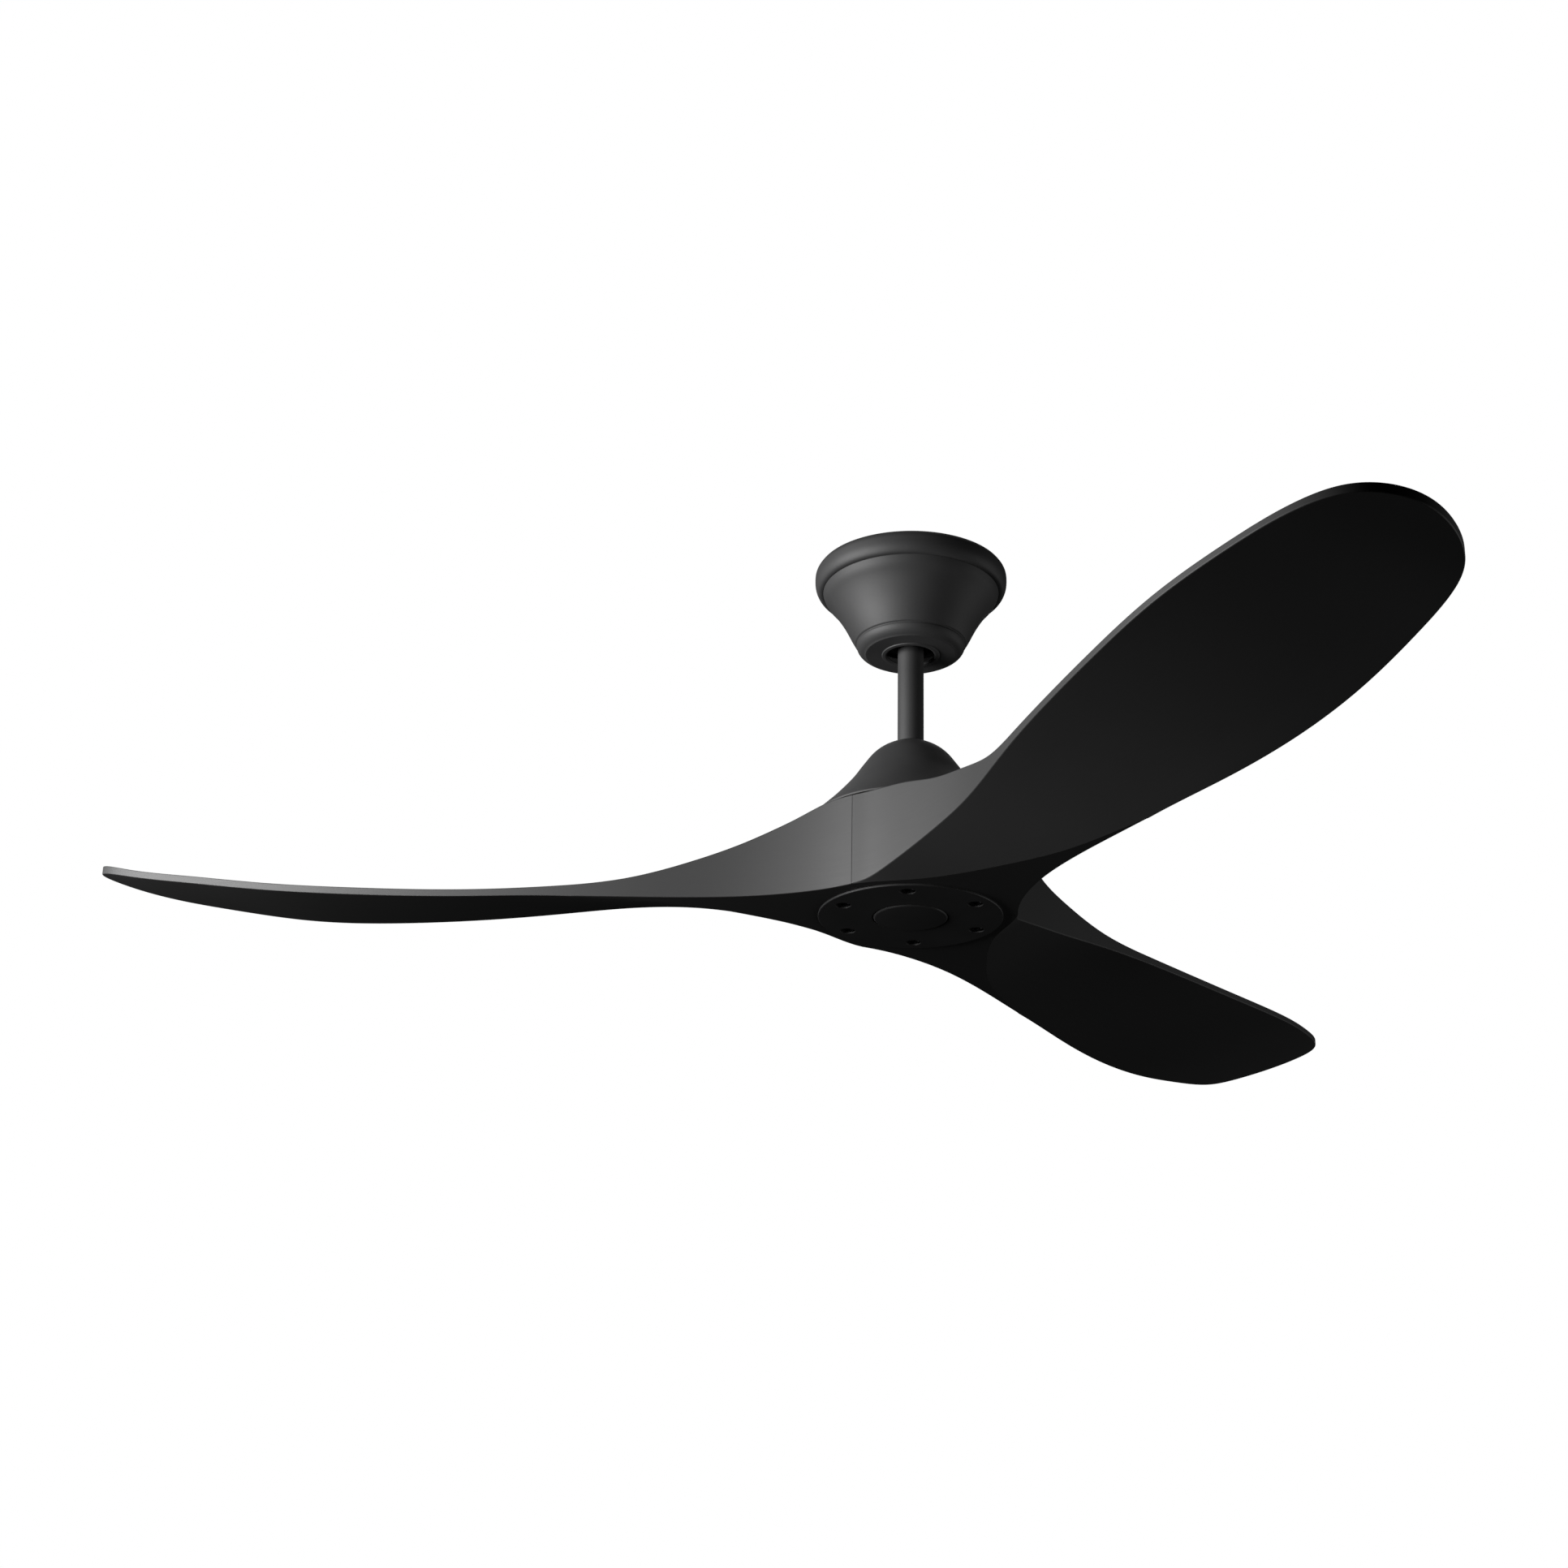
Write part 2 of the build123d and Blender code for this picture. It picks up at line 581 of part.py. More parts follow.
with BuildPart() as ball_set_screw:
    with BuildSketch(Plane.XZ.offset(ROD_R)):
        with Locations((0, at(258))):
            Circle(2.45)
    extrude(amount=12)
    with BuildSketch(Plane.XZ.offset(ROD_R + 12)):
        with Locations((0, at(258))):
            RegularPolygon(radius=1.5, side_count=6)
    extrude(amount=-2.5, mode=Mode.SUBTRACT)

# lead from the motor up through the hollow shaft, past the clevis pin and the
# cross pin in the rod, with its plug on top
LEAD_Y = 5.7
with BuildPart() as motor_lead:
    with BuildLine() as lead_path:
        FilletPolyline((0, 0, at(60)), (0, 0, at(100)), (0, LEAD_Y, at(113)), (0, LEAD_Y, at(278)), radius=12)
    with BuildSketch(Plane.XY.offset(at(60))):
        Circle(2.3)
    sweep()
with BuildPart() as lead_plug:
    with BuildSketch(Plane.XY.offset(at(278))):
        with Locations((0, LEAD_Y)):
            RectangleRounded(10, 6.5, 1)
    extrude(amount=5.0)

# ---------------------------------------------------------------------------
# Ceiling side: bracket, receiver, canopy
# ---------------------------------------------------------------------------
BR_T = 2.5
SLOT_X = 44.45
with BuildPart() as hanger_bracket:
    # top plate against the ceiling
    with BuildSketch(Plane.XY):
        RectangleRounded(138, 38, 5)
        with Locations((SLOT_X, 0), (-SLOT_X, 0)):
            SlotCenterToCenter(14.5, 5.5, mode=Mode.SUBTRACT)
    extrude(amount=-BR_T)
    # ball cradle straps
    for sx in (-1, 1):
        with Locations((sx * 31.75, 0, at((240 + 304) / 2))):
            Box(BR_T, 30, 64)
    # side tabs that take the canopy screws
    for sx in (-1, 1):
        with Locations((sx * 67.75, 0, at((286 + 304) / 2))):
            Box(BR_T, 22, 18)
    # seat ring
    with BuildSketch(Plane.XY.offset(at(240))):
        Circle(32.4)
    extrude(amount=9)
    with Locations((0, 0, at(BALL_H))):
        Sphere(SEAT_R, mode=Mode.SUBTRACT)
    with BuildSketch(Plane.XY.offset(at(235))):
        Circle(24.0)
    extrude(amount=20, mode=Mode.SUBTRACT)
    # the side the ball is slid in from
    with Locations((0, -25, at(244))):
        Box(24, 50, 30, mode=Mode.SUBTRACT)
    # key tab
    with Locations((0, 27.0, at(244.5))):
        Box(5.4, 8, 7)
    # canopy screw holes
    with BuildSketch(Plane.YZ.offset(-80)):
        with Locations((0, at(294))):
            Circle(1.75)
    extrude(amount=160, mode=Mode.SUBTRACT)
    # earth screw hole
    with BuildSketch(Plane.XY):
        with Locations((-54, 12)):
            Circle(2.0)
    extrude(amount=-BR_T, mode=Mode.SUBTRACT)

with BuildPart() as earth_screw:
    with BuildSketch(Plane.XY.offset(-0.4)):
        with Locations((-54, 12)):
            Circle(1.95)
    extrude(amount=-7.6)
    with BuildSketch(Plane.XY.offset(-BR_T - 0.0)):
        with Locations((-54, 12)):
            RegularPolygon(radius=4.2, side_count=6)
    extrude(amount=-2.4)

with BuildPart() as receiver_case:
    with BuildSketch(Plane.XY.offset(at(286.5))):
        RectangleRounded(58, 34, 4)
    extrude(amount=11.5)
    with BuildSketch(Plane.XY.offset(at(288.0))):
        RectangleRounded(55, 31, 2.5)
    extrude(amount=12, mode=Mode.SUBTRACT)
with BuildPart() as receiver_cover:
    with BuildSketch(Plane.XY.offset(at(298.0))):
        RectangleRounded(58, 34, 4)
    extrude(amount=2.0)
with BuildPart() as receiver_board:
    with BuildSketch(Plane.XY.offset(at(290.0))):
        RectangleRounded(54, 30, 2.4)
    extrude(amount=1.6)
    for px, py, pw, pl, ph in ((-16, 2, 12, 14, 5.5), (4, 6, 10, 8, 4), (14, -7, 14, 7, 5), (-2, -8, 8, 8, 3)):
        with BuildSketch(Plane.XY.offset(at(291.6))):
            with Locations((px, py)):
                Rectangle(pw, pl)
        extrude(amount=ph)
with BuildPart() as supply_terminal:
    with BuildSketch(Plane.XY.offset(-BR_T)):
        with Locations((0, 26.5)):
            Rectangle(24, 9)
    extrude(amount=-11)
    with BuildSketch(Plane.XZ.offset(-31)):
        with Locations((-7, -BR_T - 5.5), (0, -BR_T - 5.5), (7, -BR_T - 5.5)):
            Circle(1.8)
    extrude(amount=6, mode=Mode.SUBTRACT)

# canopy shell: outer profile (radius, height)
CANOPY = [(73.0, 284.0), (70.6, 279.0), (66.8, 274.3), (62.4, 268.5), (58.3, 262.0), (54.9, 256.0), (51.9, 250.0), (49.2, 244.5), (47.0, 240.4), (46.0, 238.6)]
with BuildPart() as canopy_shell:
    with BuildSketch(Plane.XZ):
        with BuildLine():
            Line((CAN_TOP_R, at(303.0)), (CAN_TOP_R, at(284.0)))
            Spline(*[(r, at(h)) for r, h in CANOPY])
            Line((46.0, at(238.6)), (44.8, at(237.4)))
            # rounded bead above the flat bottom
            Spline((44.8, at(237.4)), (44.6, at(235.8)), (43.3, at(233.0)), (41.0, at(230.7)), (38.2, at(229.3)))
            Polyline((38.2, at(229.3)), (37.2, at(228.5)), (23.8, at(228.5)), (23.5, at(227.5)), (20.8, at(227.3)), (CAN_HOLE_R, at(228.0)),
                     (CAN_HOLE_R, at(229.7)), (37.0, at(229.9)))
            Spline((37.0, at(229.9)), (39.9, at(231.6)), (41.9, at(234.2)), (43.3, at(237.6)), (45.0, at(240.9)))
            Spline(*[(45.0, at(240.9)), (48.0, at(245.6)), (50.7, at(250.6)), (53.7, at(256.6)), (57.1, at(262.6)), (61.3, at(269.3)),
                     (65.8, at(275.3)), (69.6, at(280.2)), (71.8, at(285.0))])
            Polyline((71.8, at(285.0)), (71.8, at(303.0)), (CAN_TOP_R, at(303.0)))
        make_face()
    revolve(axis=Axis.Z)
    with BuildSketch(Plane.YZ.offset(-80)):
        with Locations((0, at(294))):
            Circle(2.0)
    extrude(amount=160, mode=Mode.SUBTRACT)

with BuildPart() as canopy_screws:
    for sx in (-1, 1):
        with BuildSketch(Plane.YZ.offset(sx * 63.0)):
            with Locations((0, at(294))):
                Circle(1.65)
        extrude(amount=sx * 10.1)
        with BuildSketch(Plane.YZ.offset(sx * 73.05)):
            with Locations((0, at(294))):
                Circle(3.4)
        extrude(amount=sx * 2.0)

# trim ring that hides the canopy screws
with BuildPart() as canopy_ring:
    with BuildSketch(Plane.XZ):
        with BuildLine():
            Spline((73.35, at(284.3)), (75.6, at(284.7)), (78.2, at(287.6)), (79.4, at(291.2)), (RING_R, at(296.0)), (79.2, at(300.0)), (77.3, at(303.0)))
            Polyline((77.3, at(303.0)), (76.2, at(303.4)), (75.7, at(302.2)))
            Spline((75.7, at(302.2)), (77.6, at(299.4)), (78.2, at(296.0)), (77.9, at(291.8)), (76.8, at(288.6)), (75.2, at(286.4)), (73.35, at(286.1)))
            Line((73.35, at(286.1)), (73.35, at(284.3)))
        make_face()
    revolve(axis=Axis.Z)

# ---------------------------------------------------------------------------
pieces = {
    "hanger_bracket": hanger_bracket, "earth_screw": earth_screw, "receiver_case": receiver_case, "receiver_cover": receiver_cover,
    "receiver_board": receiver_board, "supply_terminal": supply_terminal, "canopy_shell": canopy_shell,
    "canopy_screws": canopy_screws, "canopy_ring": canopy_ring,
    "hanger_ball": hanger_ball, "ball_cross_pin": ball_cross_pin, "ball_set_screw": ball_set_screw, "downrod": downrod,
    "motor_lead": motor_lead, "lead_plug": lead_plug, "coupling_yoke": coupling_yoke, "clevis_pin": clevis_pin,
    "cotter_pin": cotter_pin, "yoke_set_screws": yoke_set_screws, "bell_bracket": bell_bracket,
    "bell_bracket_screws": bell_bracket_screws, "bell_housing": bell_housing, "motor_shaft": motor_shaft,
    "shaft_circlip": shaft_circlip, "shaft_spacer": shaft_spacer, "stator_hub": stator_hub, "stator_core": stator_core,
    "stator_windings": stator_windings, "motor_board": motor_board,
    "lower_bearing_inner": lower_bearing_inner, "upper_bearing_inner": upper_bearing_inner,
    "lower_bearing_balls": lower_bearing_balls, "lower_bearing_cage": lower_bearing_cage,
    "upper_bearing_balls": upper_bearing_balls, "upper_bearing_cage": upper_bearing_cage,
    "lower_bearing_outer": lower_bearing_outer, "upper_bearing_outer": upper_bearing_outer,
    "rotor_cup": rotor_cup, "rotor_cover": rotor_cover, "rotor_cover_screws": rotor_cover_screws,
    "rotor_magnets": rotor_magnets, "motor_gasket": motor_gasket, "blade_left": blade_left, "blade_near": blade_near,
    "blade_far": blade_far, "hub_plate": hub_plate, "hub_screws": hub_screws, "centre_cap": centre_cap,
}
for name, piece in pieces.items():
    piece.part.label = name
    export_step(piece.part, f"parts/{name}.step")
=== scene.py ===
import json
import math

import bpy
import numpy as np
from mathutils import Matrix, Vector
from mathutils.geometry import delaunay_2d_cdt


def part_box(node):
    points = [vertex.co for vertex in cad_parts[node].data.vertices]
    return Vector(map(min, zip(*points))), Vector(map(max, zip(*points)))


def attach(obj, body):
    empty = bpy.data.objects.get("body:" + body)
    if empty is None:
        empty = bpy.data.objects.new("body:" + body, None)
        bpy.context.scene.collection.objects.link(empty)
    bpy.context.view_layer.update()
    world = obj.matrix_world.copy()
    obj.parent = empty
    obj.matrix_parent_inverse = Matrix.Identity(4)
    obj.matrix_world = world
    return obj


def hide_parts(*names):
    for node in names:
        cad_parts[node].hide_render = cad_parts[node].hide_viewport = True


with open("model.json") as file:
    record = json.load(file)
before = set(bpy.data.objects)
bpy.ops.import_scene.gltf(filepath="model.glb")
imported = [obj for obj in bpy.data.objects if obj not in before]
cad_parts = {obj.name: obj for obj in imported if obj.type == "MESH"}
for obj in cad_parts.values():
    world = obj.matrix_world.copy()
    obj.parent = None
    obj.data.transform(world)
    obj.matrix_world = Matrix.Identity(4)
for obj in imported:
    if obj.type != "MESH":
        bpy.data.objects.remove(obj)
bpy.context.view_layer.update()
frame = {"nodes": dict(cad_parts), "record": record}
NODES = frame["nodes"]
SCENE = bpy.context.scene

# Heights in the tables below are counted up from the flat underside of the hub, in mm, as in the CAD source.
PLATE_PROUD = 1.6
Z0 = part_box("hub_plate")[0].z * 1000 + PLATE_PROUD      # that underside in the row frame


# ---------------------------------------------------------------------------
# Mesh building: faces are gathered with one normal for each of their corners
# ---------------------------------------------------------------------------
class Shell:
    """Gathers faces as arrays of corners; make() merges corners that meet and turns each face to agree with its normals."""

    def __init__(self):
        self.corners, self.normals, self.uvs = [], [], []

    def add(self, p, n, uv=None):
        """p, n: (faces, 4, 3); a triangle repeats its last corner."""
        p = np.asarray(p, float)
        self.corners.append(p)
        self.normals.append(np.asarray(n, float))
        self.uvs.append(np.asarray(uv if uv is not None else p[..., :2], float))

    def grid(self, p, n, uv=None):
        """p and n are arrays of shape (rows, columns, 3)."""
        def quads(a):
            return np.stack([a[:-1, :-1], a[:-1, 1:], a[1:, 1:], a[1:, :-1]], 2).reshape(-1, 4, a.shape[-1])
        self.add(quads(p), quads(n), None if uv is None else quads(uv))

    def fill(self, loops, lift, normal):
        """Fills a flat region bounded by loops of 2-D points, holes among them. lift turns (m, 2) points into (m, 3)."""
        pts, edges, seen = [], [], {}
        for loop in loops:
            ids = []
            for q in loop:
                key = (round(float(q[0]), 4), round(float(q[1]), 4))
                if key not in seen:
                    seen[key] = len(pts)
                    pts.append((float(q[0]), float(q[1])))
                ids.append(seen[key])
            edges += [(ids[i], ids[(i + 1) % len(ids)]) for i in range(len(ids)) if ids[i] != ids[(i + 1) % len(ids)]]
        out, _, tris, orig, _, _ = delaunay_2d_cdt([Vector(q) for q in pts], edges, [], 0, 1e-6)
        xy = np.array([pts[orig[i][0]] if orig[i] else (q.x, q.y) for i, q in enumerate(out)])
        tris = np.array([list(t) for t in tris])
        mid = xy[tris].mean(1)
        inside = np.zeros(len(tris), bool)
        for loop in loops:
            q = np.array(loop, float)
            r = np.roll(q, -1, 0)
            cross = (q[None, :, 1] > mid[:, None, 1]) != (r[None, :, 1] > mid[:, None, 1])
            with np.errstate(divide="ignore", invalid="ignore"):
                xs = q[None, :, 0] + (mid[:, None, 1] - q[None, :, 1]) * (r[None, :, 0] - q[None, :, 0]) / (r[None, :, 1] - q[None, :, 1])
            inside ^= (np.count_nonzero(cross & (xs > mid[:, None, 0]), axis=1) % 2).astype(bool)
        t = tris[inside]
        ids = np.concatenate([t, t[:, -1:]], 1)
        p = np.asarray(lift(xy), float)[ids]
        self.add(p, np.broadcast_to(np.array(normal, float), p.shape).copy(), xy[ids])

    def make(self, name, move=Matrix.Identity(4)):
        p, n, uv = np.concatenate(self.corners), np.concatenate(self.normals), np.concatenate(self.uvs)
        n = n / np.maximum(np.linalg.norm(n, axis=-1, keepdims=True), 1e-12)
        geo = np.cross(p[:, 2] - p[:, 0], p[:, 3] - p[:, 1])
        geo = np.where(np.linalg.norm(geo, axis=1, keepdims=True) < 1e-9, np.cross(p[:, 1] - p[:, 0], p[:, 2] - p[:, 0]), geo)
        back = np.einsum("ij,ij->i", geo, n.sum(1)) < 0
        for a in (p, n, uv):
            a[back] = a[back][:, ::-1]
        key = np.round(p.reshape(-1, 3) * 1e4).astype(np.int64)
        _, first, inv = np.unique(key, axis=0, return_index=True, return_inverse=True)
        inv = np.ravel(inv)
        verts, ids = p.reshape(-1, 3)[first], inv.reshape(-1, 4)
        keep = ids != np.roll(ids, 1, axis=1)                # corners that repeat their neighbour go
        count = keep.sum(1)
        pair = (ids[:, 0] == ids[:, 2]) | (ids[:, 1] == ids[:, 3])
        good = (count >= 3) & ~(pair & (count >= 3))
        keep &= good[:, None]
        count = keep.sum(1)[good]
        flat = keep.reshape(-1)
        me = bpy.data.meshes.new(name)
        me.vertices.add(len(verts))
        me.vertices.foreach_set("co", (verts / 1000).astype(np.float32).ravel())
        me.loops.add(int(flat.sum()))
        me.loops.foreach_set("vertex_index", ids.reshape(-1)[flat].astype(np.int32))
        me.polygons.add(len(count))
        me.polygons.foreach_set("loop_start", np.concatenate([[0], np.cumsum(count)[:-1]]).astype(np.int32))
        me.polygons.foreach_set("use_smooth", np.ones(len(count), bool))
        layer = me.uv_layers.new(name="UVMap")
        layer.data.foreach_set("uv", (uv.reshape(-1, 2)[flat] / 1000).astype(np.float32).ravel())
        me.update(calc_edges=True)
        me.transform(move)
        r = np.array(move.to_3x3())
        me.normals_split_custom_set((n.reshape(-1, 3)[flat] @ r.T).astype(np.float32))
        ob = bpy.data.objects.new(name, me)
        SCENE.collection.objects.link(ob)
        return ob


def cubic(xk):
    """The matrix that turns values at xk into a natural cubic spline's second derivatives there."""
    n = len(xk)
    h = np.diff(xk)
    a, b = np.eye(n), np.zeros((n, n))
    for i in range(1, n - 1):
        a[i, i - 1], a[i, i], a[i, i + 1] = h[i - 1], 2 * (h[i - 1] + h[i]), h[i]
        b[i, i - 1], b[i, i], b[i, i + 1] = 6 / h[i - 1], -6 / h[i - 1] - 6 / h[i], 6 / h[i]
    return np.linalg.solve(a, b)


def spline(xk, yk, x):
    """Natural cubic spline: yk is (n,) or (n, m); x is (m,) or any shape when yk is (n,)."""
    xk, yk, x = np.asarray(xk, float), np.asarray(yk, float), np.asarray(x, float)
    m = cubic(xk) @ yk
    k = np.clip(np.searchsorted(xk, x, side="right") - 1, 0, len(xk) - 2)
    h = xk[k + 1] - xk[k]
    a, b = (xk[k + 1] - x) / h, (x - xk[k]) / h
    if yk.ndim == 1:
        y0, y1, m0, m1 = yk[k], yk[k + 1], m[k], m[k + 1]
    else:
        c = np.arange(yk.shape[1])
        y0, y1, m0, m1 = yk[k, c], yk[k + 1, c], m[k, c], m[k + 1, c]
    return a * y0 + b * y1 + ((a ** 3 - a) * m0 + (b ** 3 - b) * m1) * h * h / 6


def curve(points, count):
    """Points along a smooth plane curve through the given ones, evenly spaced along it."""
    p = np.array(points, float)
    t = np.concatenate([[0], np.cumsum(np.linalg.norm(np.diff(p, axis=0), axis=1))])
    tt = np.linspace(0, t[-1], 40 * len(p))
    q = np.stack([spline(t, p[:, 0], tt), spline(t, p[:, 1], tt)], 1)
    s = np.concatenate([[0], np.cumsum(np.linalg.norm(np.diff(q, axis=0), axis=1))])
    ss = np.linspace(0, s[-1], count)
    return np.stack([np.interp(ss, s, q[:, 0]), np.interp(ss, s, q[:, 1])], 1)


# ---------------------------------------------------------------------------
# The carved blades
# ---------------------------------------------------------------------------
BLADE = [
    (-25, 86.0, -92.0, -14.0, 104.0, -7.0, 74.6, 75.0, 0.0, 0.0), (5, 78.6, -83.3, -9.0, 90.0, -3.6, 74.4, 74.7, 0.0, 0.0),
    (40, 68.7, -71.7, -3.1, 75.2, 0.0, 74.1, 74.2, 0.2, 0.0), (65, 61.9, -63.4, 5.1, 47.6, 0.0, 73.7, 71.3, 2.0, 0.0),
    (90, 55.2, -55.0, 11.4, 20.8, 0.0, 71.2, 61.4, 6.5, 0.0), (125, 50.2, -48.1, 18.9, -4.0, 0.0, 62.6, 47.0, 5.5, 0.0),
    (170, 47.7, -47.2, 25.2, -28.0, 0.0, 53.9, 30.4, 3.5, 0.5), (220, 54.9, -49.8, 29.2, -43.0, 0.0, 42.8, 16.2, 2.2, 1.0),
    (280, 67.6, -54.3, 29.7, -54.3, -0.1, 36.6, 8.2, 1.8, 1.4), (350, 80.1, -58.3, 28.8, -58.3, -1.2, 34.6, 4.7, 1.6, 1.6),
    (430, 90.5, -61.9, 29.9, -61.9, -0.4, 35.4, 5.6, 1.5, 1.6), (510, 93.0, -58.8, 34.0, -58.8, 5.7, 39.2, 11.7, 1.4, 1.5),
    (575, 83.0, -52.9, 40.6, -52.9, 14.6, 45.8, 20.7, 1.3, 1.3), (625, 68.4, -42.4, 46.3, -42.4, 24.2, 51.8, 30.3, 1.2, 1.0),
    (662, 60.0, -40.0, 52.6, -40.0, 33.2, 59.2, 40.2, 0.8, 0.6), (690, 60.0, -40.0, 58.6, -40.0, 39.6, 65.8, 47.2, 0.6, 0.4),
]
OUTLINE = [
    (0, 103), (20, 88.5), (36, 77.9), (42.6, 73.8), (48, 70.3), (55, 66.2), (65, 62.0), (90, 55.5), (125, 49.9), (170, 48.2), (220, 55.0), (280, 67.6), (350, 80.2), (430, 90.3),
    (510, 93.3), (575.2, 83.9), (614.6, 73.4), (645.7, 54.3), (659.2, 30.2), (661.5, 5.9), (654.3, -16.8), (637.9, -36.3), (608.4, -47.2),
    (575, -52.4), (510, -58.8), (430, -61.3), (350, -58.4), (280, -54.3), (220, -49.9), (170, -47.2), (125, -48.6),
    (90, -54.6), (67, -61.7), (51, -69.0), (42.6, -73.8), (36, -77.8), (20, -88.0), (0, -102),
]
SEAM_GAP = 0.2
CREASE_END = 262.0
PLATE_R, POCKET_R, HOLE_R = 73.6, 68.3, 26.5
SCREW_PCR = 59.6
FILLET = 0.9


def skins():
    """Each skin as values at the rows of r and seven places across."""
    s = -112 + 224 * np.arange(7) / 6
    low, top = [], []
    for r, sh, sl, zh, sc, zc, th, tl, crown, hollow in BLADE:
        g = 1 - ((s - 0.5 * (sh + sl)) / (0.5 * (sh - sl))) ** 2
        low.append(zc + (zh - zc) / (sh - sc) * (s - sc) + hollow * np.maximum(g, -0.6))
        top.append(tl + (th - tl) / (sh - sl) * (s - sl) + crown * np.maximum(g, -1.2))
    return np.array([b[0] for b in BLADE], float), s, np.array(low), np.array(top)


SKIN_R, SKIN_S, SKIN_LOW, SKIN_TOP = skins()


def skin(table, r, s):
    shape = np.shape(r)
    r, s = np.ravel(r), np.ravel(s)
    rows = np.stack([spline(SKIN_S, row, s) for row in table])
    return spline(SKIN_R, rows, r).reshape(shape)


def low_z(r, s):
    z = skin(SKIN_LOW, r, s)
    return np.where((r < CREASE_END) & (z < 0), 0.0, z)


def top_z(r, s):
    return skin(SKIN_TOP, r, s)


def slope(table, r, s, e=0.25):
    return ((skin(table, r + e, s) - skin(table, r - e, s)) / (2 * e), (skin(table, r, s + e) - skin(table, r, s - e)) / (2 * e))


def to3(r, s, z):
    return np.stack([r, -s, z], -1)


def wedge_point(radius, side):
    """The point of the wedge line on the given side (+1 high, -1 low) at that distance from the axis."""
    a = SEAM_GAP / math.sin(math.radians(60))
    t = (-a + math.sqrt(a * a - 4 * (a * a - radius * radius))) / 2
    return np.array([a + t * 0.5, side * t * math.sin(math.radians(60))])


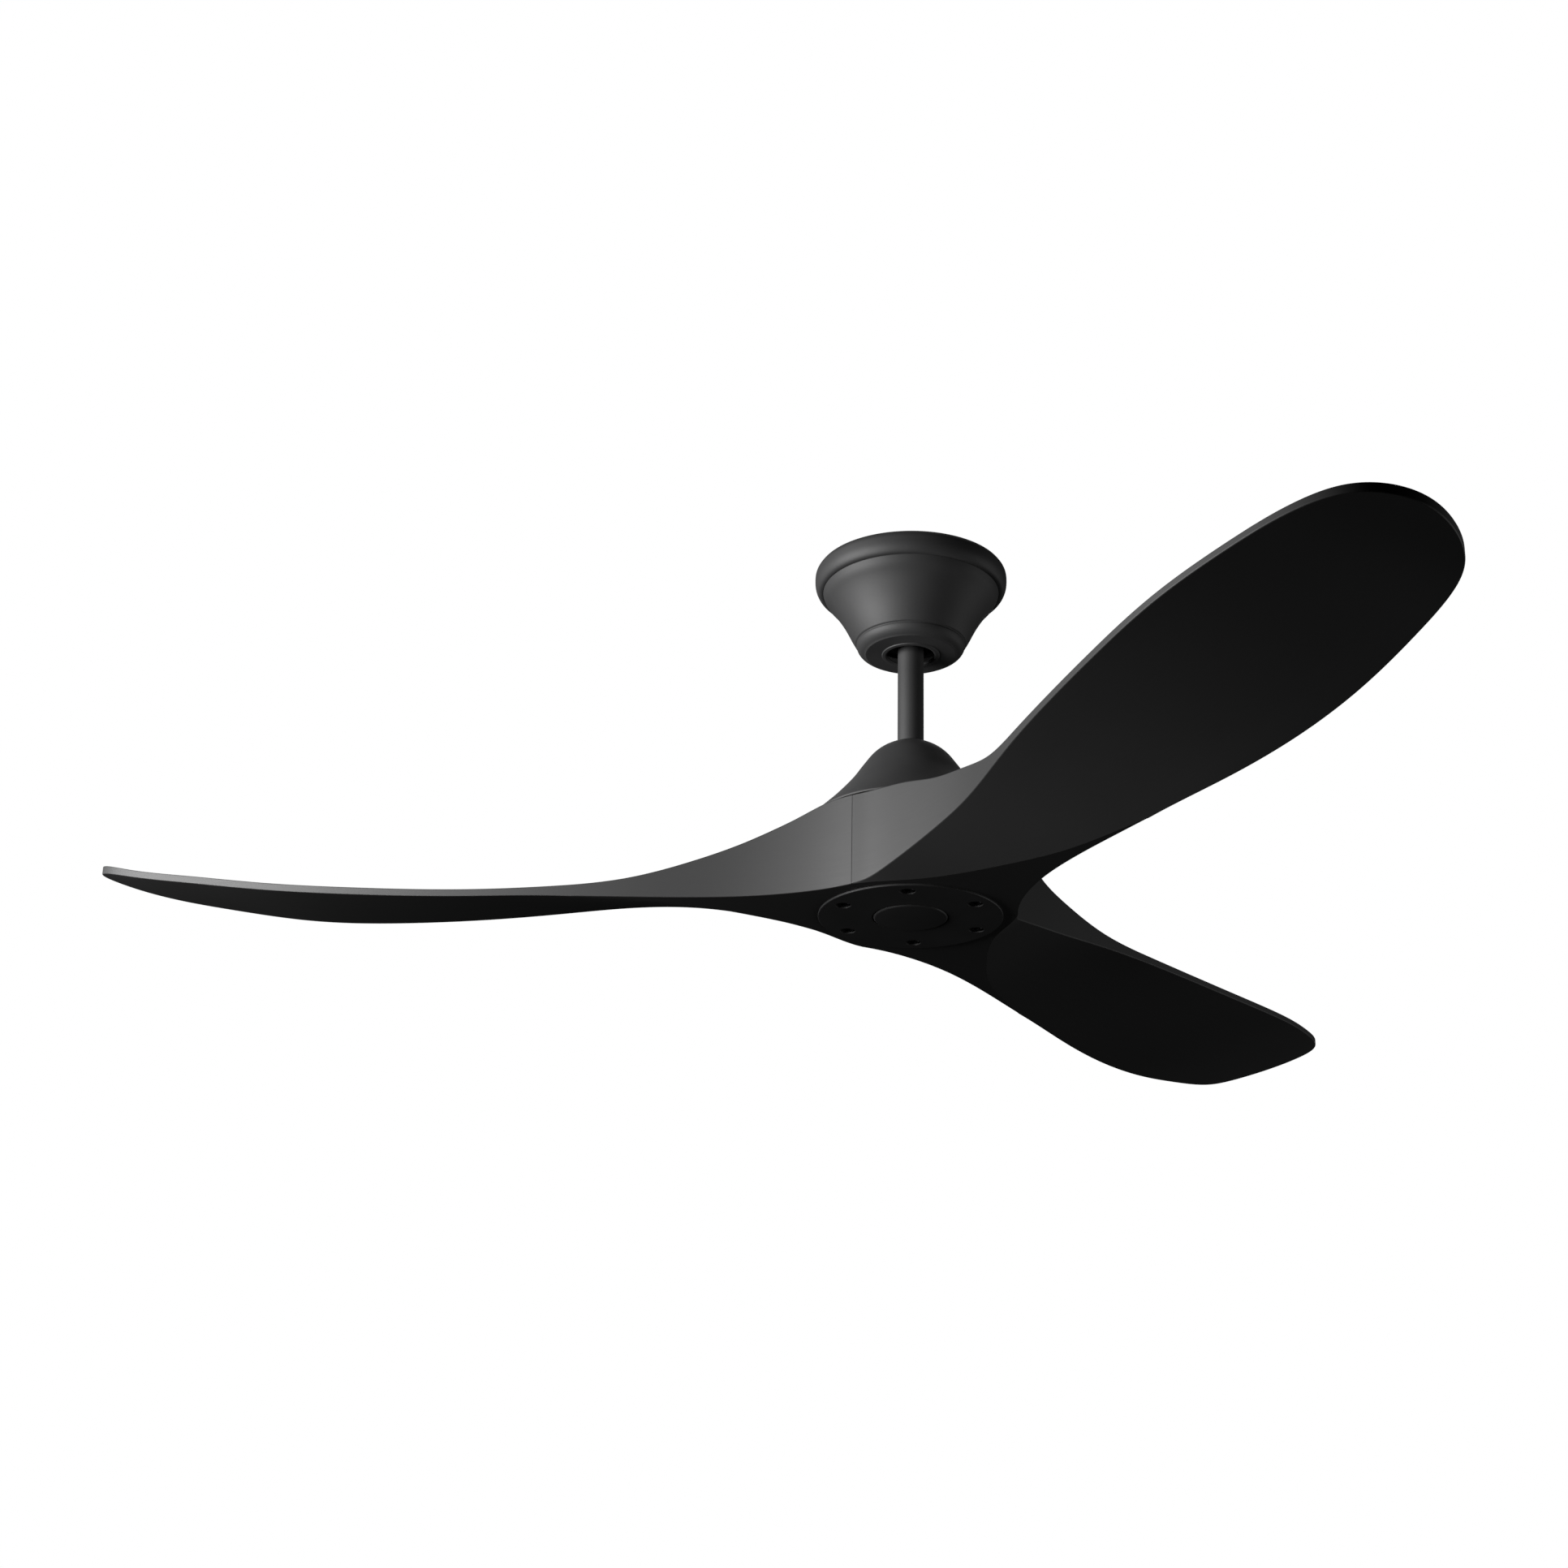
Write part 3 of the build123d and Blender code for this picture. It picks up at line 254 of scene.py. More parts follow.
def build_blade(name):
    sh = Shell()
    # the outline, split at its tip and at the two seams
    o = curve(OUTLINE, 9001) * 0.99997
    a = SEAM_GAP / math.sin(math.radians(60))
    tip = int(np.argmax(o[:, 0]))

    def cut(line, side):
        """The part of a line of points past the wedge, started exactly on it."""
        g = math.tan(math.radians(60)) * (line[:, 0] - a) - side * line[:, 1]
        i = int(np.argmax(g > 0))
        return np.concatenate([[line[i - 1] + (line[i] - line[i - 1]) * (-g[i - 1] / (g[i] - g[i - 1]))], line[i:]])

    high, low = cut(o[:tip + 1], 1), cut(o[:tip - 1:-1], -1)
    steps = 190
    f = np.linspace(0, 1, steps + 1)
    f = f + 0.10 * np.sin(math.pi * f) * f                  # closer rows towards the tip

    def along(part):
        d = np.concatenate([[0], np.cumsum(np.linalg.norm(np.diff(part, axis=0), axis=1))])
        want = np.clip(f, 0, 1) * d[-1]
        q = np.stack([np.interp(want, d, part[:, 0]), np.interp(want, d, part[:, 1])], 1)
        ahead = np.stack([np.interp(np.clip(want + 1.5, 0, d[-1]), d, part[:, 0]), np.interp(np.clip(want + 1.5, 0, d[-1]), d, part[:, 1])], 1)
        back = np.stack([np.interp(np.clip(want - 1.5, 0, d[-1]), d, part[:, 0]), np.interp(np.clip(want - 1.5, 0, d[-1]), d, part[:, 1])], 1)
        t = ahead - back
        t /= np.linalg.norm(t, axis=1, keepdims=True)
        return q, t

    eh, th = along(high)
    el, tl = along(low)
    nh = np.stack([-th[:, 1], th[:, 0]], 1)                 # outwards on the high side
    nl = np.stack([tl[:, 1], -tl[:, 0]], 1)
    tipn = np.array([1.0, 0.0])
    nh[-1] = nl[-1] = tipn
    ih, il = eh - FILLET * nh, el - FILLET * nl             # the skins stop here, at the fillets
    for e, i, side in ((eh, ih, 1), (el, il, -1)):          # at a seam the fillet lies in the wedge plane
        d = np.array([0.5, side * math.sin(math.radians(60))])
        n = nh[0] if side > 0 else nl[0]
        i[0] = e[0] - d * FILLET / abs(float(np.dot(d, n)))
    ih[-1] = il[-1] = 0.5 * (ih[-1] + il[-1])

    def polar(p, q, v):
        rp, rq = np.linalg.norm(p), np.linalg.norm(q)
        fp, fq = math.atan2(p[1], p[0]), math.atan2(q[1], q[0])
        rr, ff = rp + (rq - rp) * v, fp + (fq - fp) * v
        return np.stack([rr * np.cos(ff), rr * np.sin(ff)], -1)

    def row(p, q, v):
        w = min(max((0.5 * (p[0] + q[0]) - 45) / 155, 0), 1)
        w = w * w * (3 - 2 * w)
        return (1 - w) * polar(p, q, v) + w * (p + (q - p) * v[:, None])

    hub = 3
    seam = {side: {PLATE_R: [wedge_point(PLATE_R, side), e],
                   POCKET_R: [wedge_point(POCKET_R + (np.linalg.norm(e) - POCKET_R) * i / hub, side) for i in range(hub)] + [e]}
            for side, e in ((1, ih[0]), (-1, il[0]))}

    def arc(radius, v):
        a0 = wedge_point(radius, 1)
        f0 = math.atan2(a0[1], a0[0])
        ff = f0 * (1 - 2 * v)
        return np.stack([radius * np.cos(ff), radius * np.sin(ff)], -1)

    # underside: the flat hub part is one face, and the pitched part runs from the high edge to the crease or the low edge
    start = int(np.argmax(skin(SKIN_LOW, ih[:, 0], ih[:, 1]) > 0)) - 1
    end = int(np.argmax(il[:, 0] > CREASE_END))
    ss = np.linspace(-100, 100, 401)
    crease = []
    for r in np.linspace(ih[start + 1, 0], il[end, 0], 400):
        z = skin(SKIN_LOW, np.full(401, r), ss)
        i = int(np.argmax((z[:-1] < 0) & (z[1:] >= 0)))
        g = ss[i] + (ss[i + 1] - ss[i]) * (-z[i] / (z[i + 1] - z[i])) if z[i] < 0 <= z[i + 1] else -1e3
        crease.append((r, max(g, float(np.interp(r, il[:, 0], il[:, 1])))))
    crease = np.array([ih[start]] + [c for c in crease if c[1] < np.interp(c[0], ih[:, 0], ih[:, 1])] + [il[end]])
    d = np.concatenate([[0], np.cumsum(np.linalg.norm(np.diff(crease, axis=0), axis=1))])
    want = d[-1] * (np.arange(end - start + 1) / (end - start)) ** 1.0
    kline = np.stack([np.interp(want, d, crease[:, 0]), np.interp(want, d, crease[:, 1])], 1)
    kline[0], kline[-1] = ih[start], il[end]
    inner_ends = np.concatenate([kline, il[end + 1:]])
    v = np.linspace(0, 1, 41)
    rs = ih[start:, None, :] * (1 - v)[None, :, None] + inner_ends[:, None, :] * v[None, :, None]
    rs[0], rs[:, 0], rs[:, -1] = ih[start], ih[start:], inner_ends
    z = low_z(rs[..., 0], rs[..., 1])
    z[0] = 0
    z[:end - start + 1, -1] = 0
    z[end - start:, -1] = low_z(il[end:, 0], il[end:, 1])
    dr, ds = slope(SKIN_LOW, rs[..., 0], rs[..., 1])
    sh.grid(to3(rs[..., 0], rs[..., 1], z), np.stack([dr, -ds, -np.ones_like(dr)], -1), uv=rs)
    rim = arc(PLATE_R, np.linspace(0, 1, 61))
    flat = np.concatenate([il[1:end], kline[::-1], ih[1:start][::-1], seam[1][PLATE_R][::-1][:-1], rim, seam[-1][PLATE_R][1:]])
    sh.fill([flat], lambda q: to3(q[:, 0], q[:, 1], np.where(q[:, 0] > CREASE_END - 0.5, low_z(q[:, 0], q[:, 1]), 0.0)), (0, 0, -1))

    # top skin
    def top_row(k, v):
        if k < 0:
            p, q = seam[1][POCKET_R][k + hub], seam[-1][POCKET_R][k + hub]
        else:
            p, q = ih[k], il[k]
        out = row(p, q, v)
        out[0], out[-1] = p, q
        return out

    v = np.linspace(0, 1, 45)
    crown = np.array([top_row(k, v) for k in range(-hub, steps + 1)])
    rt, st = crown[..., 0], crown[..., 1]
    pt = to3(rt, st, top_z(rt, st))
    dr, ds = slope(SKIN_TOP, rt, st)
    sh.grid(pt, np.stack([-dr, ds, np.ones_like(dr)], -1), uv=crown)

    # walls with their two fillets, all round from one seam to the other
    def wall(edge, inner, normal, side):
        b, c, steps_f, steps_w = FILLET, FILLET, 5, 8
        k = len(edge)
        zb_in, zt_in = low_z(inner[:, 0], inner[:, 1]), top_z(inner[:, 0], inner[:, 1])
        zb_e, zt_e = low_z(edge[:, 0], edge[:, 1]), top_z(edge[:, 0], edge[:, 1])
        cols, nrms, us = [], [], []
        out3 = np.stack([normal[:, 0], -normal[:, 1], np.zeros(k)], -1)

        def fil(z_in, z_e, sign):
            a0 = to3(inner[:, 0], inner[:, 1], z_in)
            a1 = to3(edge[:, 0], edge[:, 1], z_e)
            a2 = to3(edge[:, 0], edge[:, 1], z_e + sign * c)
            pts, nn = [], []
            for i in range(steps_f + 1):
                t = i / steps_f
                pts.append((1 - t) ** 2 * a0 + 2 * t * (1 - t) * a1 + t * t * a2)
                tan = 2 * (1 - t) * (a1 - a0) + 2 * t * (a2 - a1)
                h = np.einsum("ij,ij->i", tan, out3)
                v = tan[:, 2]
                nn.append(out3 * (np.abs(v))[:, None] + np.stack([np.zeros(k), np.zeros(k), -sign * np.abs(h)], -1))
            return pts, nn

        pb, nb_ = fil(zb_in, zb_e, 1)
        ptop, nt_ = fil(zt_in, zt_e, -1)
        cols, nrms = list(pb), list(nb_)
        for i in range(1, steps_w):
            t = i / steps_w
            cols.append(to3(edge[:, 0], edge[:, 1], (zb_e + c) * (1 - t) + (zt_e - c) * t))
            nrms.append(out3)
        cols += list(reversed(ptop))
        nrms += list(reversed(nt_))
        # the skins' own normals where the fillets meet them
        dr, ds = slope(SKIN_LOW, inner[:, 0], inner[:, 1])
        nb0 = np.stack([dr, -ds, -np.ones_like(dr)], -1)
        isflat = (inner[:, 0] < CREASE_END) & (skin(SKIN_LOW, inner[:, 0], inner[:, 1]) < 0)
        nb0[isflat] = (0, 0, -1)
        nrms[0] = nb0 / np.linalg.norm(nb0, axis=1, keepdims=True)
        dr, ds = slope(SKIN_TOP, inner[:, 0], inner[:, 1])
        nt0 = np.stack([-dr, ds, np.ones_like(dr)], -1)
        nrms[-1] = nt0 / np.linalg.norm(nt0, axis=1, keepdims=True)
        P, N = np.stack(cols, 1), np.stack(nrms, 1)
        d = np.concatenate([[0], np.cumsum(np.linalg.norm(np.diff(edge, axis=0), axis=1))])
        U = np.stack([np.repeat(d[:, None], P.shape[1], 1) + 900, P[..., 2]], -1)
        sh.grid(P, N, uv=U)
        return P

    ph = wall(eh, ih, nh, 1)
    pl = wall(el, il, nl, -1)

    # pocket, floors and the two screw holes, which the motor and the plate cover
    vb = np.linspace(0, 1, 31)
    pocket = crown[0]

    def ring_wall(pts, z_a, z_b, inward):
        A = to3(pts[:, 0], pts[:, 1], np.broadcast_to(z_a, len(pts)).astype(float))
        B = to3(pts[:, 0], pts[:, 1], np.broadcast_to(z_b, len(pts)).astype(float))
        n = to3(pts[:, 0], pts[:, 1], np.zeros(len(pts)))
        n /= np.linalg.norm(n, axis=1, keepdims=True)
        n = -n if inward else n
        P, N = np.stack([A, B]), np.stack([n, n])
        sh.grid(P, N)

    centre = arc(HOLE_R, vb)
    ring_wall(pocket, 12.0, pt[0, :, 2], True)
    ring_wall(centre, 3.4, 12.0, True)
    ring_wall(rim, 0.0, 3.4, True)
    holes = []
    for t in (-30, 30):
        c = np.array([SCREW_PCR * math.cos(math.radians(t)), SCREW_PCR * math.sin(math.radians(t))])
        aa = np.linspace(0, 2 * math.pi, 33)
        ring = c + 3.0 * np.stack([np.cos(aa), np.sin(aa)], -1)
        holes.append(ring[:-1])
        A, B = to3(ring[:, 0], ring[:, 1], np.full(33, 3.4)), to3(ring[:, 0], ring[:, 1], np.full(33, 12.0))
        n = -to3(np.cos(aa), np.sin(aa), np.zeros(33))
        sh.grid(np.stack([A, B]), np.stack([n, n]))
    sh.fill([np.concatenate([rim, centre[::-1]])] + holes, lambda q: to3(q[:, 0], q[:, 1], np.full(len(q), 3.4)), (0, 0, -1))
    sh.fill([np.concatenate([pocket, centre[::-1]])] + holes, lambda q: to3(q[:, 0], q[:, 1], np.full(len(q), 12.0)), (0, 0, 1))

    # the two seam faces
    for side, P, col in ((1, ph, 0), (-1, pl, -1)):
        d = np.array([0.5, -side * math.sin(math.radians(60)), 0])
        base = np.array([a, 0, 0])
        line = [to3(*q, 0.0) for q in seam[side][PLATE_R]]
        line += [q for q in P[0][1:-1]]
        line += [pt[i, col] for i in range(hub, -1, -1)]
        w = to3(*pocket[0 if side > 0 else -1], 12.0)
        line += [w, to3(*centre[0 if side > 0 else -1], 12.0), to3(*centre[0 if side > 0 else -1], 3.4), to3(*rim[0 if side > 0 else -1], 3.4)]
        loop = [(float(np.dot(q - base, d)), float(q[2])) for q in line]
        n = np.array([-math.sin(math.radians(60)), -side * 0.5, 0])
        sh.fill([np.array(loop)], lambda q: base + q[:, :1] * d + q[:, 1:] * np.array([0, 0, 1.0]), n)
    return sh


print("building the blades")
blade_shell = build_blade("blade")
offset = {"blade_left": 177.9, "blade_near": 297.9, "blade_far": 57.9}
blade_obs = []
for node, az in offset.items():
    m = Matrix.Translation((0, 0, Z0 / 1000)) @ Matrix.Rotation(math.radians(az), 4, "Z")
    ob = blade_shell.make("lacquered_" + node, m)
    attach(ob, "rotor")
    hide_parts(node)
    blade_obs.append(ob)


# ---------------------------------------------------------------------------
# Turned and spun parts
# ---------------------------------------------------------------------------
def soften(points, radii, seg=4):
    """A closed or open polyline with its corners rounded: radii gives one radius a corner, 0 to leave it."""
    p = [np.array(q, float) for q in points]
    out = []
    for i, q in enumerate(p):
        r = radii[i] if i < len(radii) else 0
        if r <= 0 or i == 0 or i == len(p) - 1:
            out.append(q)
            continue
        a, b = p[i - 1] - q, p[i + 1] - q
        la, lb = np.linalg.norm(a), np.linalg.norm(b)
        t = min(r, 0.45 * la, 0.45 * lb)
        s, e = q + a / la * t, q + b / lb * t
        for k in range(seg + 1):
            g = k / seg
            out.append((1 - g) ** 2 * s + 2 * g * (1 - g) * q + g * g * e)
    return np.array(out)


def lathe(name, profile, segments=192, closed=True):
    """Turns a profile of (radius, height) about Z. The body of the part lies on the left of the profile's direction."""
    pr = np.array(profile, float)
    keep = [0] + [i for i in range(1, len(pr)) if np.linalg.norm(pr[i] - pr[i - 1]) > 1e-4]
    pr = pr[keep]
    if closed and np.linalg.norm(pr[0] - pr[-1]) > 1e-4:
        pr = np.concatenate([pr, pr[:1]])
    seg = np.diff(pr, axis=0)
    ln = np.linalg.norm(seg, axis=1)
    nn = np.stack([seg[:, 1], -seg[:, 0]], 1) / ln[:, None]
    area2 = np.sum(pr[:-1, 0] * pr[1:, 1] - pr[1:, 0] * pr[:-1, 1])
    if area2 < 0:                                           # the profile runs clockwise, so outwards is on its left
        nn = -nn
    vn = np.zeros_like(pr)
    for i in range(len(pr)):
        if closed:
            a, b = (i - 1) % len(seg), i % len(seg)
        else:
            a, b = max(i - 1, 0), min(i, len(seg) - 1)
        w1, w2 = ln[a] ** 1.5, ln[b] ** 1.5
        vn[i] = nn[a] * w1 + nn[b] * w2
        vn[i] /= max(np.linalg.norm(vn[i]), 1e-9)
    sh = Shell()
    t = np.linspace(0, 2 * math.pi, segments + 1)
    t[-1] = 0
    ct, st = np.cos(t), np.sin(t)
    arc = np.concatenate([[0], np.cumsum(ln)])
    P = np.zeros((len(pr), segments + 1, 3))
    N = np.zeros_like(P)
    U = np.zeros((len(pr), segments + 1, 2))
    for i, (r, h) in enumerate(pr):
        P[i, :, 0], P[i, :, 1], P[i, :, 2] = r * ct, r * st, h
        N[i, :, 0], N[i, :, 1], N[i, :, 2] = vn[i, 0] * ct, vn[i, 0] * st, vn[i, 1]
        U[i, :, 0], U[i, :, 1] = np.linspace(0, 2 * math.pi * 70, segments + 1), arc[i]
    # sharp corners keep each side's own normal
    for i in range(len(pr) - 1):
        n0, n1 = vn[i].copy(), vn[i + 1].copy()
        if np.dot(n0, nn[i]) < 0.8:
            n0 = nn[i]
        if np.dot(n1, nn[i]) < 0.8:
            n1 = nn[i]
        A = np.stack([P[i], P[i + 1]])
        B = np.stack([np.stack([n0[0] * ct, n0[0] * st, np.full_like(ct, n0[1])], -1), np.stack([n1[0] * ct, n1[0] * st, np.full_like(ct, n1[1])], -1)])
        sh.grid(A, B, uv=np.stack([U[i], U[i + 1]]))
    return sh.make(name, Matrix.Translation((0, 0, Z0 / 1000)))


def dense(points, step=0.8):
    pts = np.array(points, float)
    length = np.sum(np.linalg.norm(np.diff(pts, axis=0), axis=1))
    return curve(points, max(4, int(length / step)))


# canopy
outer = [(73.0, 284.0), (70.6, 279.0), (66.8, 274.3), (62.4, 268.5), (58.3, 262.0), (54.9, 256.0), (51.9, 250.0), (49.2, 244.5), (47.0, 240.4), (46.0, 238.6)]
bead = [(44.84, 236.9), (44.6, 235.7), (43.3, 232.9), (41.0, 230.7), (38.2, 229.3)]
inner_low = [(37.0, 229.9), (39.9, 231.6), (41.9, 234.2), (43.3, 237.6), (45.0, 240.9)]
inner_up = [(45.0, 240.9), (48.0, 245.6), (50.7, 250.6), (53.7, 256.6), (57.1, 262.6), (61.3, 269.3), (65.8, 275.3), (69.6, 280.2), (71.8, 285.0)]
foot = soften([(38.2, 229.3), (37.2, 228.5), (23.8, 228.5), (23.5, 227.5), (20.8, 227.3), (19.4, 228.0), (19.4, 229.7), (37.0, 229.9)],
              [0, 0.7, 0.35, 0.3, 0.7, 0.3, 0.3, 0], 5)
groove = soften([(46.5, 239.5), (46.0, 238.6), (44.45, 237.75), (44.8, 236.5)], [0, 0.5, 0.6, 0], 6)
shell_profile = np.concatenate([
    soften([(73.0, 286.0), (73.0, 284.0), (72.2, 282.2)], [0, 0.5, 0], 5)[:-1],
    dense(outer)[2:-2], groove, dense(bead)[1:-1], foot[:-1], dense(inner_low)[:-1], dense(inner_up), [(71.8, 302.7), (72.0, 303.0), (72.8, 303.0), (73.0, 302.8)]])
canopy = lathe("canopy_spun_shell", shell_profile, 168)
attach(canopy, "ceiling_mount"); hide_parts("canopy_shell")

ring_out = [(73.35, 284.3), (75.6, 284.7), (78.2, 287.6), (79.4, 291.2), (79.7, 296.0), (79.2, 300.0), (77.3, 303.0)]
ring_in = [(75.7, 302.2), (77.6, 299.4), (78.2, 296.0), (77.9, 291.8), (76.8, 288.6), (75.2, 286.4), (73.35, 286.1)]
ring_profile = np.concatenate([dense(ring_out, 0.5)[::-1], soften([(73.6, 284.32), (73.35, 284.5), (73.35, 286.0), (73.6, 286.1)], [0, 0.2, 0.1, 0], 3)[1:-1],
                               dense(ring_in, 0.7)[::-1], soften([(75.7, 302.2), (76.2, 303.35), (77.3, 303.0)], [0, 0.5, 0], 4)[1:-1]])
ring = lathe("canopy_trim_ring", ring_profile, 168)
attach(ring, "ceiling_mount"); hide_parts("canopy_ring")

# bell housing
bell_out = [(79.7, 78.7), (76.3, 82.0), (72.0, 86.2), (66.2, 92.0), (60.6, 98.0), (55.3, 104.0), (50.3, 110.0), (45.8, 116.0),
            (41.8, 122.0), (37.6, 128.0), (33.2, 134.0), (29.2, 138.2), (24.6, 141.8), (19.5, 144.8), (14.5, 147.3), (11.05, 148.9)]
bell_in = [(78.3, 78.5), (75.2, 81.3), (70.9, 85.4), (65.1, 91.2), (59.5, 97.2), (54.2, 103.2), (49.2, 109.2), (44.7, 115.2),
           (40.7, 121.2), (36.6, 127.0), (32.4, 132.8), (28.5, 137.0), (24.0, 140.5), (19.0, 143.4), (14.0, 145.9), (11.05, 147.4)]
bell_profile = np.concatenate([dense(bell_out, 0.8)[1:-1][::-1], soften([(79.3, 79.1), (79.7, 78.7), (79.7, 77.2), (78.3, 77.2), (78.3, 78.5)], [0, 0.3, 0.35, 0.35, 0], 4)[:-1],
                               dense(bell_in, 1.2), soften([(11.05, 147.4), (11.05, 148.9), (11.9, 148.52)], [0, 0.3, 0], 4)[1:-1]])
bell = lathe("bell_spun_housing", bell_profile, 168)
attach(bell, "hanger"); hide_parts("bell_housing")

# centre cap: low dome with a rolled edge
cap_profile = soften([(0.0, -3.0), (7.0, -2.975), (14.0, -2.9), (22.0, -2.7), (28.3, -2.4), (29.4, -1.5), (29.4, -0.4), (21.8, -0.4), (21.8, 5.0),
                      (20.4, 5.0), (20.4, -0.6), (0.0, -0.6)], [0, 3.0, 3.0, 3.0, 0.45, 0.45, 0.25, 0.3, 0.3, 0.3, 0.3, 0], 5)
cap = lathe("centre_cap_turned", cap_profile[::-1], 160, closed=False)
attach(cap, "rotor"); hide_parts("centre_cap")

# underside plate with counterbored holes
SCREW_AZ = [offset["blade_left"] + 30 + 60 * i for i in range(6)]


def build_plate():
    sh = Shell()
    seg = 168
    t = np.linspace(0, 2 * math.pi, seg + 1)
    t[-1] = 0
    ct, st = np.cos(t), np.sin(t)

    def turn(profile, side=1):
        pr = np.array(profile, float)
        d = np.diff(pr, axis=0)
        ln = np.linalg.norm(d, axis=1)
        nn = side * np.stack([d[:, 1], -d[:, 0]], 1) / ln[:, None]
        vn = np.zeros_like(pr)
        for i in range(len(pr)):
            a, b = max(i - 1, 0), min(i, len(d) - 1)
            vn[i] = nn[a] * ln[a] ** 1.5 + nn[b] * ln[b] ** 1.5
            vn[i] /= np.linalg.norm(vn[i])
        P = np.stack([np.stack([r * ct, r * st, np.full_like(ct, h)], -1) for r, h in pr])
        N = np.stack([np.stack([v[0] * ct, v[0] * st, np.full_like(ct, v[1])], -1) for v in vn])
        sh.grid(P, N)
        return P

    # outer edge: face, chamfer with softened corners, side, top
    edge = soften([(72.2, -1.6), (72.9, -1.6), (73.3, -1.2), (73.3, 3.4), (72.6, 3.4)], [0, 0.2, 0.2, 0.3, 0], 4)
    turn(edge)
    # recess for the cap, then the centre hole
    inner = soften([(31.0, -1.6), (30.4, -1.6), (30.4, -0.4), (22.0, -0.4), (22.0, 3.4), (22.6, 3.4)], [0, 0.15, 0.1, 0.15, 0.2, 0], 3)
    turn(inner, -1)
    loops_b = [np.stack([72.2 * ct[:-1], 72.2 * st[:-1]], -1), np.stack([31.0 * ct[:-1], 31.0 * st[:-1]], -1)]
    loops_t = [np.stack([72.6 * ct[:-1], 72.6 * st[:-1]], -1), np.stack([22.6 * ct[:-1], 22.6 * st[:-1]], -1)]
    aa = np.linspace(0, 2 * math.pi, 49)
    aa[-1] = 0
    ca, sa = np.cos(aa), np.sin(aa)
    for az in SCREW_AZ:
        c = SCREW_PCR * np.array([math.cos(math.radians(az)), math.sin(math.radians(az))])
        prof = soften([(6.4, -1.6), (6.1, -1.6), (6.1, 1.4), (2.75, 1.4), (2.75, 3.4)], [0, 0.22, 0.1, 0.2, 0], 3)
        d = np.diff(prof, axis=0)
        ln = np.linalg.norm(d, axis=1)
        nn = np.stack([-d[:, 1], d[:, 0]], 1) / ln[:, None]
        vn = np.zeros_like(prof)
        for i in range(len(prof)):
            a, b = max(i - 1, 0), min(i, len(d) - 1)
            vn[i] = nn[a] * ln[a] ** 1.5 + nn[b] * ln[b] ** 1.5
            vn[i] /= np.linalg.norm(vn[i])
        P = np.stack([np.stack([c[0] + r * ca, c[1] + r * sa, np.full_like(ca, h)], -1) for r, h in prof])
        N = np.stack([np.stack([v[0] * ca, v[0] * sa, np.full_like(ca, v[1])], -1) for v in vn])
        sh.grid(P, N)
        loops_b.append(np.stack([c[0] + 6.4 * ca[:-1], c[1] + 6.4 * sa[:-1]], -1))
        loops_t.append(np.stack([c[0] + 2.75 * ca[:-1], c[1] + 2.75 * sa[:-1]], -1))
    sh.fill(loops_b, lambda q: np.column_stack([q, np.full(len(q), -1.6)]), (0, 0, -1))
    sh.fill(loops_t, lambda q: np.column_stack([q, np.full(len(q), 3.4)]), (0, 0, 1))
    return sh


plate = build_plate().make("underside_plate", Matrix.Translation((0, 0, Z0 / 1000)))
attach(plate, "rotor"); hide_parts("hub_plate")


